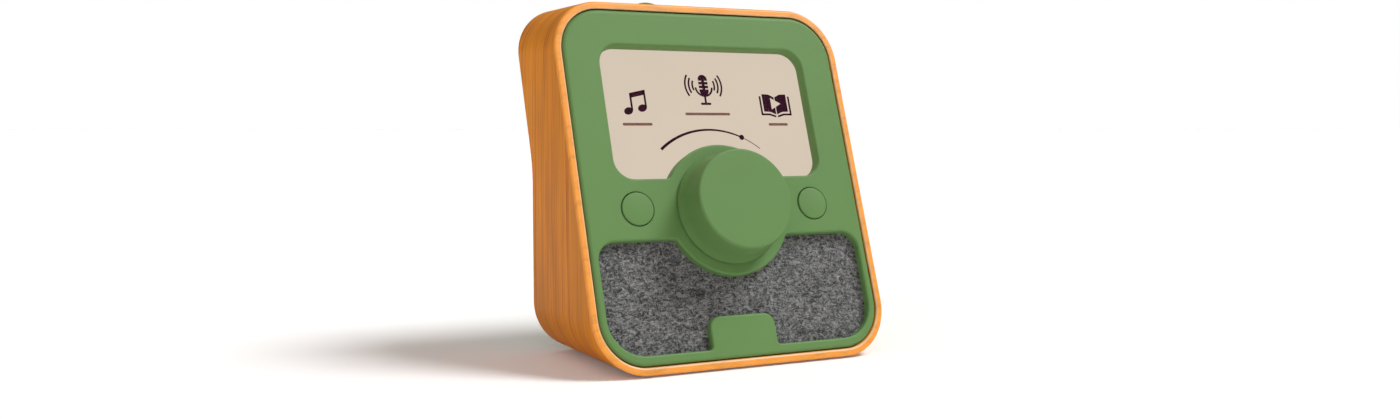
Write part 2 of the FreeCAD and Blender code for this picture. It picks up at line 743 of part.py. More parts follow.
def encoder_body():
    half = ENCODER_W / 2
    body = plate(-half, half, HUB_UP - half, HUB_UP + half, ENCODER_FRONT, BOARD_FRONT,
                 ENCODER_CORNER_R)
    body = body.fuse(disc(0, HUB_UP, BUSHING_R, -BUSHING_PROUD, ENCODER_FRONT))
    body = body.cut(disc(0, HUB_UP, SHAFT_R + RUN_GAP, -BUSHING_PROUD, ROTOR_FRONT))
    return seat(body.cut(disc(0, HUB_UP, ROTOR_R + MOVE_GAP, ROTOR_FRONT, BOARD_FRONT)))


def encoder_shaft():
    shaft = disc(0, HUB_UP, SHAFT_R, -SHAFT_PROUD, ROTOR_NEAR)
    flat = Part.makeBox(2 * SHAFT_R, SHAFT_R, SHAFT_FLAT_L,
                        Vector(-SHAFT_R, HUB_UP + SHAFT_R - SHAFT_FLAT, SHAFT_PROUD - SHAFT_FLAT_L))
    shaft = shaft.cut(flat)
    shaft = shaft.fuse(disc(0, HUB_UP, ROTOR_R, ROTOR_NEAR, ROTOR_NEAR + ROTOR_T))
    return seat(shaft.fuse(disc(0, HUB_UP, NIB_R, ROTOR_NEAR + ROTOR_T, PUSH_FRONT)))


def encoder_plunger():
    return seat(disc(0, HUB_UP, PUSH_R, PUSH_FRONT + 0.02, PUSH_BACK))


def encoder_nut():
    corner_r = NUT_FLATS / math.sqrt(3)
    points = [Vector(corner_r * math.cos(math.radians(60 * i)),
                     HUB_UP + corner_r * math.sin(math.radians(60 * i)), 0) for i in range(6)]
    nut = Part.Face(Part.makePolygon(points + points[:1])).extrude(Vector(0, 0, NUT_T))
    return seat(nut.cut(disc(0, HUB_UP, BUSHING_R, -NUT_T, 0)))


def knob_cap():
    edge = [(0, -KNOB_PROUD)]
    for angle in (0, 30, 60, 90):
        edge.append((KNOB_TOP_R - KNOB_EDGE_R + KNOB_EDGE_R * math.sin(math.radians(angle)),
                     -KNOB_PROUD + KNOB_EDGE_R - KNOB_EDGE_R * math.cos(math.radians(angle))))
    knob = turned(0, HUB_UP, edge + [(KNOB_R, -KNOB_GAP), (0, -KNOB_GAP)])
    roof = KNOB_PROUD - KNOB_TOP_T
    knob = knob.cut(taper(0, HUB_UP, KNOB_TOP_R - KNOB_WALL, KNOB_R - KNOB_WALL, -roof, -KNOB_GAP))
    boss_low = BUSHING_PROUD + KNOB_GAP + MOVE_GAP
    boss = disc(0, HUB_UP, KNOB_BOSS_R, -roof, -boss_low)
    for index in range(KNOB_RIBS):
        rib = Part.makeBox(KNOB_R - KNOB_WALL, KNOB_RIB_T, roof - boss_low - KNOB_RIB_T,
                           Vector(0, HUB_UP - KNOB_RIB_T / 2, boss_low + KNOB_RIB_T))
        rib.rotate(Vector(0, HUB_UP, 0), Vector(0, 0, 1), 360 / KNOB_RIBS * index)
        boss = boss.fuse(rib)
    boss = boss.common(taper(0, HUB_UP, KNOB_TOP_R - KNOB_WALL / 2, KNOB_R - KNOB_WALL / 2,
                             -roof, -KNOB_GAP))
    knob = knob.fuse(boss)
    socket = disc(0, HUB_UP, SHAFT_R + RUN_GAP, -SHAFT_PROUD, -boss_low)
    flat = Part.makeBox(2 * KNOB_R, KNOB_R, KNOB_PROUD,
                        Vector(-KNOB_R, HUB_UP + SHAFT_R - SHAFT_FLAT + RUN_GAP,
                               SHAFT_PROUD - SHAFT_FLAT_L + RUN_GAP))
    return seat(knob.cut(socket.cut(flat)).removeSplitter())


def knob_board():
    half = KNOB_BOARD_W / 2
    board = plate(-half, half, KNOB_BOARD_LOW, KNOB_BOARD_HIGH, BOARD_FRONT, BOARD_BACK, BOARD_R)
    return seat(cut_holes(board, knob_board_spots(), SMALL_SCREW_R, BOARD_FRONT, BOARD_BACK))


def knob_board_screws():
    return [seat(face_screw(x, up, BOARD_BACK, BAFFLE_BACK + 1)) for x, up in knob_board_spots()]


def front_switches():
    half = SWITCH_W / 2
    bodies = []
    for x in (-BUTTON_X, BUTTON_X):
        body = plate(x - half, x + half, BUTTON_UP - half, BUTTON_UP + half,
                     SWITCH_FRONT, BOARD_FRONT, SWITCH_CORNER_R)
        well = disc(x, BUTTON_UP, PLUNGER_R + MOVE_GAP, SWITCH_FRONT,
                    SWITCH_FRONT + PLUNGER_SUNK + BUTTON_TRAVEL + MOVE_GAP)
        bodies.append(seat(body.cut(well)))
    return bodies


def front_plunger(x):
    return seat(disc(x, BUTTON_UP, PLUNGER_R, PLUNGER_TIP, SWITCH_FRONT + PLUNGER_SUNK))


def front_button(x):
    """A flat cap with a shallow crown, a flange that keeps it in, and a stem to its switch."""
    flange_near = FACE_T + FLANGE_PLAY
    flange_far = flange_near + BUTTON_FLANGE_T
    crown = [(BUTTON_R * share, -BUTTON_PROUD - BUTTON_DOME * (1 - share * share))
             for share in (0, 0.5, 0.8, 1)]
    return seat(turned(x, BUTTON_UP, crown + [
        (BUTTON_R, flange_near), (FLANGE_R, flange_near), (FLANGE_R, flange_far),
        (STEM_R, flange_far), (STEM_R, PLUNGER_TIP), (0, PLUNGER_TIP)]))


def speaker_gasket():
    half = DRIVER_W / 2
    seal = plate(-half, half, DRIVER_UP - half, DRIVER_UP + half, BAFFLE_BACK, GASKET_BACK,
                 DRIVER_CORNER_R)
    seal = seal.cut(disc(0, DRIVER_UP, DRIVER_OPEN_R, BAFFLE_BACK, GASKET_BACK))
    return seat(cut_holes(seal, driver_spots(), SMALL_SCREW_R, BAFFLE_BACK, GASKET_BACK))


def speaker_basket():
    """A pressed frame: square flange, windowed taper and a back plate for the magnet."""
    half = DRIVER_W / 2
    flange = plate(-half, half, DRIVER_UP - half, DRIVER_UP + half, GASKET_BACK, FLANGE_BACK,
                   DRIVER_CORNER_R)
    flange = flange.cut(disc(0, DRIVER_UP, DRIVER_OPEN_R, GASKET_BACK, FLANGE_BACK))
    wall = turned(0, DRIVER_UP, [
        (DRIVER_OPEN_R, FLANGE_BACK), (DRIVER_OPEN_R + BASKET_SHEET, FLANGE_BACK),
        (BASKET_BACK_R + BASKET_SHEET, BASKET_BACK), (BASKET_BACK_R, BASKET_BACK)])
    for index in range(BASKET_WINDOWS):
        window = Part.makeBox(DRIVER_W, BASKET_BACK_R, BASKET_D - 4 * BASKET_SHEET,
                              Vector(0, DRIVER_UP - BASKET_BACK_R / 2,
                                     -BASKET_BACK + 2 * BASKET_SHEET))
        window.rotate(Vector(0, DRIVER_UP, 0), Vector(0, 0, 1), 360 / BASKET_WINDOWS * index)
        wall = wall.cut(window)
    floor = ring(0, DRIVER_UP, BASKET_BACK_R + BASKET_SHEET, CONE_THROAT_R + 1,
                 BASKET_BACK - BASKET_SHEET, BASKET_BACK)
    basket = flange.fuse(wall).fuse(floor)
    return seat(cut_holes(basket, driver_spots(), SMALL_SCREW_R, GASKET_BACK, FLANGE_BACK))


def speaker_cone():
    """A paper cone with its dust cap, in one piece."""
    top = FLANGE_BACK - FLANGE_T / 2
    throat = top + CONE_D
    near = [(CONE_R, top), (CONE_THROAT_R, throat), (0.6 * CONE_THROAT_R, throat - 0.32 * CONE_THROAT_R),
            (0, throat - CONE_THROAT_R / 2)]
    far = [(radius, depth + CONE_SHEET) for radius, depth in reversed(near)]
    return seat(turned(0, DRIVER_UP, near + far))


def speaker_surround():
    """A half roll between the cone's edge and the basket."""
    top = FLANGE_BACK - FLANGE_T / 2
    roll = ((0, 0), (0.15, 0.6), (0.38, 0.95), (0.62, 0.95), (0.85, 0.6), (1, 0))
    near = [(CONE_R + SURROUND_W * share, top - SURROUND_H * rise) for share, rise in roll]
    far = [(radius, depth + CONE_SHEET) for radius, depth in reversed(near)]
    return seat(turned(0, DRIVER_UP, near + far))


def speaker_magnet():
    near = BASKET_BACK
    stack = disc(0, DRIVER_UP, POLE_PLATE_R, near, near + POLE_PLATE_T)
    stack = stack.fuse(disc(0, DRIVER_UP, MAGNET_R, near, near + POLE_PLATE_T + MAGNET_T))
    far = near + POLE_PLATE_T + MAGNET_T
    return seat(stack.fuse(disc(0, DRIVER_UP, POLE_PLATE_R - 1, far, far + POLE_PLATE_T)))


def speaker_screws():
    return [seat(face_screw(x, up, FLANGE_BACK, BAFFLE_FRONT + BLIND)) for x, up in driver_spots()]


def corner_cleats():
    """Blocks glued into the tube's corners, between the panel's skirt and the cover's posts."""
    blocks = []
    layer = bore_bar(0).common(body_space(SKIRT_D, CLEAT_INSET))
    for x, z in post_spots():
        corner = box_y(math.copysign(CLEAT_X + SHELL_W / 4, x), math.copysign(CLEAT_Z + SHELL_H / 4, z),
                       SHELL_W / 2, SHELL_H / 2, -SHELL_W, SHELL_W)
        block = layer.common(corner)
        blocks.append(block.cut(long_screw_bar(x, z, LONG_SCREW_R + RUN_GAP)))
    return blocks


def back_y(z, inset):
    """Y of the straight parts of the back, moved inwards, at a height from the shell's middle."""
    leaning = CENTRE_Y + z * SIN / COS + (SHELL_D - inset) / COS
    return max(leaning, CENTRE_Y + LOWER_BACK_Y - inset)


def front_y(z, depth):
    return CENTRE_Y + z * SIN / COS + depth / COS


def long_screw_bar(x, z, radius):
    return bar_y(x, z, radius, front_y(z, BAFFLE_FRONT + LONG_TIP), back_y(z, COVER_INSET) - LONG_WELL_D)


def rear_cover():
    sheet = bore_bar(SEAT_GAP).common(body_space(0, COVER_INSET)).cut(body_space(-1, COVER_FRONT))
    skirt = bore_bar(SEAT_GAP).cut(bore_bar(SEAT_GAP + COVER_SKIRT_T))
    skirt = skirt.common(body_space(0, COVER_INSET)).cut(body_space(-1, COVER_SKIRT_D))
    cover = sheet.fuse(skirt)
    inside = body_space(0, COVER_INSET).cut(body_space(-1, CLEAT_INSET))
    for x, z in post_spots():
        cover = cover.fuse(bar_y(x, z, POST_R, -SHELL_W, SHELL_W).common(inside))
    for x, z in main_spots():
        cover = cover.fuse(bar_y(x, z, STANDOFF_R, main_back_y(), back_y(z, COVER_INSET + 1)))
    for x, up in cradle_spots():
        cover = cover.fuse(seat(disc(x, up, STANDOFF_R, CRADLE_BACK, SHELL_D - COVER_INSET - 1)))
    for x, z in post_spots():
        well = bar_y(x, z, LONG_HEAD_R + MOVE_GAP, back_y(z, COVER_INSET) - LONG_WELL_D, SHELL_W)
        cover = cover.cut(well)
        cover = cover.cut(long_screw_bar(x, z, LONG_SCREW_R + RUN_GAP))
    for x, z in main_spots():
        cover = cover.cut(bar_y(x, z, SMALL_SCREW_R, main_back_y(), main_back_y() + MAIN_SCREW_BITE))
    for x, up in cradle_spots():
        cover = cover.cut(seat(disc(x, up, SMALL_SCREW_R, CRADLE_BACK, SHELL_D - COVER_FRONT)))
    cover = cover.cut(oval_y(USB_X, SOCKET_Z, USB_W + 2 * SEAT_GAP, USB_H + 2 * SEAT_GAP,
                             main_back_y(), SHELL_W))
    return cover.cut(bar_y(JACK_X, SOCKET_Z, JACK_NOSE_R + MOVE_GAP, main_back_y(), SHELL_W))


def cover_screws():
    screws = []
    for x, z in post_spots():
        floor = back_y(z, COVER_INSET) - LONG_WELL_D
        length = floor - front_y(z, BAFFLE_FRONT + LONG_TIP)
        long_screw = screw(LONG_SCREW_R, length, LONG_HEAD_R, LONG_HEAD_T,
                           LONG_DRIVE_L, LONG_DRIVE_W, LONG_DRIVE_D)
        screws.append(placed(long_screw, x, floor, CENTRE_Z + z, -90))
    return screws


def main_spots():
    heights = (MAIN_LOW + MAIN_HOLE_IN, MAIN_HIGH - MAIN_HOLE_IN)
    return [(side * MAIN_HOLE_X, z) for side in (-1, 1) for z in heights]


def main_back_y():
    """The side of the main board that faces the rear cover."""
    return CENTRE_Y + LOWER_BACK_Y - COVER_FRONT - MAIN_STANDOFF


def main_board():
    y1 = main_back_y()
    middle = (MAIN_LOW + MAIN_HIGH) / 2
    board = box_y(0, middle, MAIN_W, MAIN_HIGH - MAIN_LOW, y1 - BOARD_T, y1)
    for x, z in main_spots():
        board = board.cut(bar_y(x, z, SMALL_SCREW_R, y1 - BOARD_T, y1))
    return board


def main_board_screws():
    y = main_back_y() - BOARD_T
    return [placed(small_screw(BOARD_T + MAIN_SCREW_BITE), x, y, CENTRE_Z + z, 90)
            for x, z in main_spots()]


def processor_can():
    y = main_back_y() - BOARD_T
    can = box_y(CAN_X, CAN_Z, CAN_W, CAN_W, y - CAN_T, y)
    edges = [edge for edge in can.Edges if abs(edge.Vertexes[0].Y - edge.Vertexes[1].Y) > 1]
    return can.makeFillet(CAN_R, edges)


def board_chips():
    """The amplifier, the memory and the plug blocks for display, speaker and battery leads."""
    y = main_back_y() - BOARD_T
    chips = [box_y(CHIP_W, CAN_Z + CHIP_W, CHIP_W, CHIP_W, y - CHIP_T, y),
             box_y(CHIP_W, CAN_Z - CHIP_W, CHIP_W, CHIP_W, y - CHIP_T, y)]
    for step in (-1, 0, 1):
        chips.append(box_y(PLUG_X, CAN_Z + step * CHIP_W, PLUG_W, PLUG_H, y - PLUG_T, y))
    return chips


def usb_socket():
    """An upright charging socket: a flat oval shell round a tongue."""
    y0 = main_back_y()
    y1 = back_y(SOCKET_Z, COVER_INSET) - MOVE_GAP
    inner = oval_y(USB_X, SOCKET_Z, USB_W - 2 * USB_WALL, USB_H - 2 * USB_WALL, y0 + USB_FLOOR, y1)
    shell = oval_y(USB_X, SOCKET_Z, USB_W, USB_H, y0, y1).cut(inner)
    tongue = box_y(USB_X, SOCKET_Z, USB_TONGUE_W, USB_TONGUE_T, y0 + USB_FLOOR, y1 - USB_WALL)
    return shell.fuse(tongue)


def headphone_socket():
    """An upright 3.5 mm jack: a square body, a round nose and an open bore."""
    y0 = main_back_y()
    nose = back_y(SOCKET_Z, COVER_FRONT) - MOVE_GAP
    mouth = back_y(SOCKET_Z, COVER_INSET) - MOVE_GAP
    body = box_y(JACK_X, SOCKET_Z, JACK_BODY_W, JACK_BODY_W, y0, nose)
    body = body.fuse(bar_y(JACK_X, SOCKET_Z, JACK_NOSE_R, nose, mouth))
    return body.cut(bar_y(JACK_X, SOCKET_Z, JACK_BORE_R, y0 + JACK_FLOOR, mouth))


def cradle_spots():
    half = BATTERY_W / 2 + SEAT_GAP + CRADLE_WALL + CRADLE_EAR / 2
    middle = (BATTERY_LOW + BATTERY_HIGH) / 2
    rise = (BATTERY_HIGH - BATTERY_LOW) / 3
    return [(side * half, middle + step * rise) for side in (-1, 1) for step in (-1, 1)]


def battery_outline(grow, near, far):
    return plate(-BATTERY_W / 2 - grow, BATTERY_W / 2 + grow, BATTERY_LOW - grow,
                 BATTERY_HIGH + grow, near, far, BATTERY_R + grow)


def battery_pack():
    return seat(battery_outline(0, BATTERY_FRONT, BATTERY_BACK))


def battery_cradle():
    """A shallow tray with a low wall all round and four ears for its screws."""
    outer = SEAT_GAP + CRADLE_WALL
    rim_near = BATTERY_BACK - BATTERY_T / 2
    tray = battery_outline(outer, rim_near, CRADLE_BACK)
    tray = tray.cut(battery_outline(SEAT_GAP, rim_near, BATTERY_BACK))
    for x, up in cradle_spots():
        inner = x - math.copysign(CRADLE_EAR / 2 + CRADLE_WALL / 2, x)
        ear = plate(min(x, inner), max(x, inner), up - CRADLE_EAR / 2, up + CRADLE_EAR / 2,
                    BATTERY_BACK, CRADLE_BACK, CRADLE_EAR_R)
        tray = tray.fuse(ear).fuse(disc(x, up, CRADLE_EAR / 2, BATTERY_BACK, CRADLE_BACK))
    return seat(cut_holes(tray, cradle_spots(), SMALL_SCREW_R, BATTERY_BACK, CRADLE_BACK))


def cradle_screws():
    length = SHELL_D - COVER_FRONT - BATTERY_BACK
    return [seat(placed(small_screw(length), x, up, -BATTERY_BACK, 0)) for x, up in cradle_spots()]


def top_button():
    """A domed cap through the wood, with a flange below its guide and a stem to its switch."""
    base = SHELL_TOP + TOP_PROUD - TOP_DOME
    flange_low = TOP_FLANGE_HIGH - TOP_FLANGE_T
    dome = [(TOP_R * share, base + TOP_DOME * (1 - share * share)) for share in (0, 0.35, 0.65, 0.87, 1)]
    profile = dome + [
        (TOP_R, TOP_FLANGE_HIGH), (TOP_R + TOP_FLANGE, TOP_FLANGE_HIGH), (TOP_R + TOP_FLANGE, flange_low),
        (STEM_R, flange_low), (STEM_R, TOP_PLUNGER_TIP), (0, TOP_PLUNGER_TIP)]
    points = [Vector(TOP_X + radius, TOP_MID_Y, z) for radius, z in profile]
    outline = Part.Face(Part.makePolygon(points + points[:1]))
    return outline.revolve(Vector(TOP_X, TOP_MID_Y, 0), Vector(0, 0, 1), 360)


def top_button_guide():
    """A ring glued under the wood, with a sleeve for the flange and posts for the board."""
    guide = bar_z(TOP_X, TOP_MID_Y, TOP_GUIDE_R, GUIDE_LOW, CEILING)
    sleeve_r = TOP_R + TOP_FLANGE + MOVE_GAP
    guide = guide.fuse(bar_z(TOP_X, TOP_MID_Y, sleeve_r + CRADLE_WALL, CEILING - TOP_GUIDE_D, GUIDE_LOW))
    guide = guide.cut(bar_z(TOP_X, TOP_MID_Y, sleeve_r, CEILING - TOP_GUIDE_D, GUIDE_LOW))
    guide = guide.cut(bar_z(TOP_X, TOP_MID_Y, TOP_R + MOVE_GAP, GUIDE_LOW, CEILING))
    for x in top_post_xs():
        guide = guide.fuse(bar_z(x, TOP_MID_Y, TOP_POST_R, TOP_BOARD_HIGH, GUIDE_LOW))
    guide = guide.cut(bar_z(TOP_X, TOP_MID_Y, sleeve_r, CEILING - TOP_GUIDE_D, GUIDE_LOW))
    for x in top_post_xs():
        guide = guide.cut(bar_z(x, TOP_MID_Y, SMALL_SCREW_R,
                                TOP_BOARD_HIGH, TOP_BOARD_HIGH + SMALL_SCREW_BITE))
    return guide


def top_post_xs():
    return (TOP_X - TOP_POST_X, TOP_X + TOP_POST_X)


def top_switch_board():
    board = Part.makeBox(TOP_BOARD_W, TOP_BOARD_L, BOARD_T,
                         Vector(TOP_X - TOP_BOARD_W / 2, TOP_MID_Y - TOP_BOARD_L / 2,
                                TOP_BOARD_HIGH - BOARD_T))
    for x in top_post_xs():
        board = board.cut(bar_z(x, TOP_MID_Y, SMALL_SCREW_R, TOP_BOARD_HIGH - BOARD_T, TOP_BOARD_HIGH))
    return board


def top_switch():
    body = Part.makeBox(SWITCH_W, SWITCH_W, SWITCH_T,
                        Vector(TOP_X - SWITCH_W / 2, TOP_MID_Y - SWITCH_W / 2, TOP_BOARD_HIGH))
    return body.cut(bar_z(TOP_X, TOP_MID_Y, PLUNGER_R + MOVE_GAP,
                          TOP_SWITCH_HIGH - PLUNGER_SUNK - TOP_TRAVEL - MOVE_GAP, TOP_SWITCH_HIGH))


def top_plunger():
    return bar_z(TOP_X, TOP_MID_Y, PLUNGER_R, TOP_SWITCH_HIGH - PLUNGER_SUNK, TOP_PLUNGER_TIP)


def top_board_screws():
    low = TOP_BOARD_HIGH - BOARD_T
    return [placed(small_screw(BOARD_T + SMALL_SCREW_BITE), x, TOP_MID_Y, low, 180)
            for x in top_post_xs()]


def pieces():
    """Every piece by name: one solid, or the solids of a group of like pieces."""
    return {
        "wood_shell": wood_shell(),
        "rubber_feet": rubber_feet(),
        "front_panel": front_panel(),
        "screen_lens": screen_lens(),
        "display_module": display_module(),
        "display_frame": display_frame(),
        "display_screws": display_screws(),
        "speaker_felt": speaker_felt(),
        "baffle": baffle(),
        "panel_screws": panel_screws(),
        "encoder_body": encoder_body(),
        "encoder_nut": encoder_nut(),
        "encoder_shaft": encoder_shaft(),
        "encoder_plunger": encoder_plunger(),
        "knob_cap": knob_cap(),
        "knob_board": knob_board(),
        "knob_board_screws": knob_board_screws(),
        "front_switches": front_switches(),
        "left_button": front_button(-BUTTON_X),
        "left_plunger": front_plunger(-BUTTON_X),
        "right_button": front_button(BUTTON_X),
        "right_plunger": front_plunger(BUTTON_X),
        "speaker_gasket": speaker_gasket(),
        "speaker_basket": speaker_basket(),
        "speaker_cone": speaker_cone(),
        "speaker_surround": speaker_surround(),
        "speaker_magnet": speaker_magnet(),
        "speaker_screws": speaker_screws(),
        "corner_cleats": corner_cleats(),
        "rear_cover": rear_cover(),
        "cover_screws": cover_screws(),
        "main_board": main_board(),
        "main_board_screws": main_board_screws(),
        "processor_can": processor_can(),
        "board_chips": board_chips(),
        "usb_socket": usb_socket(),
        "headphone_socket": headphone_socket(),
        "battery_pack": battery_pack(),
        "battery_cradle": battery_cradle(),
        "cradle_screws": cradle_screws(),
        "top_button": top_button(),
        "top_plunger": top_plunger(),
        "top_button_guide": top_button_guide(),
        "top_switch_board": top_switch_board(),
        "top_switch": top_switch(),
        "top_board_screws": top_board_screws(),
    }


def export(parts):
    os.makedirs("parts", exist_ok=True)
    for name, made in parts.items():
        solids = []
        for shape in made if isinstance(made, list) else [made]:
            solids.extend(shape.Solids)
        whole = solids[0] if len(solids) == 1 else Part.makeCompound(solids)
        box = whole.BoundBox
        print("%-18s %2d solid(s) %9.1f mm3  x %7.2f %7.2f  y %7.2f %7.2f  z %7.2f %7.2f  %s" % (
            name, len(solids), whole.Volume, box.XMin, box.XMax, box.YMin, box.YMax,
            box.ZMin, box.ZMax, "valid" if whole.isValid() else "NOT VALID"))
        whole.exportStep("parts/" + name + ".step")


export(pieces())
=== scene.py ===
"""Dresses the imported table-top audio player and lights it for a picture.

Each operator makes one piece, or one group of like pieces, in metres in the part's own frame.
"""

import json
import math
from types import SimpleNamespace

import bmesh
import bpy
from bpy.props import FloatProperty, FloatVectorProperty, PointerProperty
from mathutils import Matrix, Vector, noise
from mathutils.geometry import delaunay_2d_cdt


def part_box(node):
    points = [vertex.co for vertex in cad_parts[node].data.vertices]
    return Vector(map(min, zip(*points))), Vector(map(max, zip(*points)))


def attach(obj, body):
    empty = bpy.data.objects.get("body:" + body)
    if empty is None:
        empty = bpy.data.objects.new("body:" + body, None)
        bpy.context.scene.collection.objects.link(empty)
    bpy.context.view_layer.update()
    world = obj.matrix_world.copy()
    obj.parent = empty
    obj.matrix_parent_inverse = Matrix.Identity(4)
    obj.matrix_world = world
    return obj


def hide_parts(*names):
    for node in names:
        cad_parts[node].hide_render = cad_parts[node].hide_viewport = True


bl_info = {
    "name": "Table-top audio player",
    "version": (1, 0, 0),
    "blender": (4, 5, 0),
    "location": "3D View > Sidebar > Player",
    "description": "Builds the looks of a bent-wood audio player round its packed CAD part",
    "category": "Object",
}

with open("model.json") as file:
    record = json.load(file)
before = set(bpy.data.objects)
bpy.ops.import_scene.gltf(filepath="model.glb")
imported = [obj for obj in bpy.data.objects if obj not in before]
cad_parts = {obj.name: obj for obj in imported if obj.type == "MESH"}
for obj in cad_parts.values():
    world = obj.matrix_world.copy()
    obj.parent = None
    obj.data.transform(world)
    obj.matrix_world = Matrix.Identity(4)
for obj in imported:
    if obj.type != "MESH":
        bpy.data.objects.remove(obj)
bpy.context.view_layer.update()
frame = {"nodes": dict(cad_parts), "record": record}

# heights over the tube's middle at which its back bends, in metres
BEND_HEIGHTS = [z / 1000 for z in (-30, -14, -6, -4, -2, 0, 2, 4, 6, 8, 10, 12, 14, 18, 30)]


def screen_colour(red, green, blue):
    """The scene colour of a display colour given from 0 to 255."""
    def one(value):
        value /= 255
        return value / 12.92 if value <= 0.04045 else ((value + 0.055) / 1.055) ** 2.4
    return (one(red), one(green), one(blue))


def length(name, description, millimetres):
    return FloatProperty(name=name, description=description, default=millimetres / 1000,
                         min=0.0, unit="LENGTH")


def colour(name, description, red, green, blue):
    return FloatVectorProperty(name=name, description=description, subtype="COLOR", size=3,
                               min=0.0, max=1.0, default=screen_colour(red, green, blue))


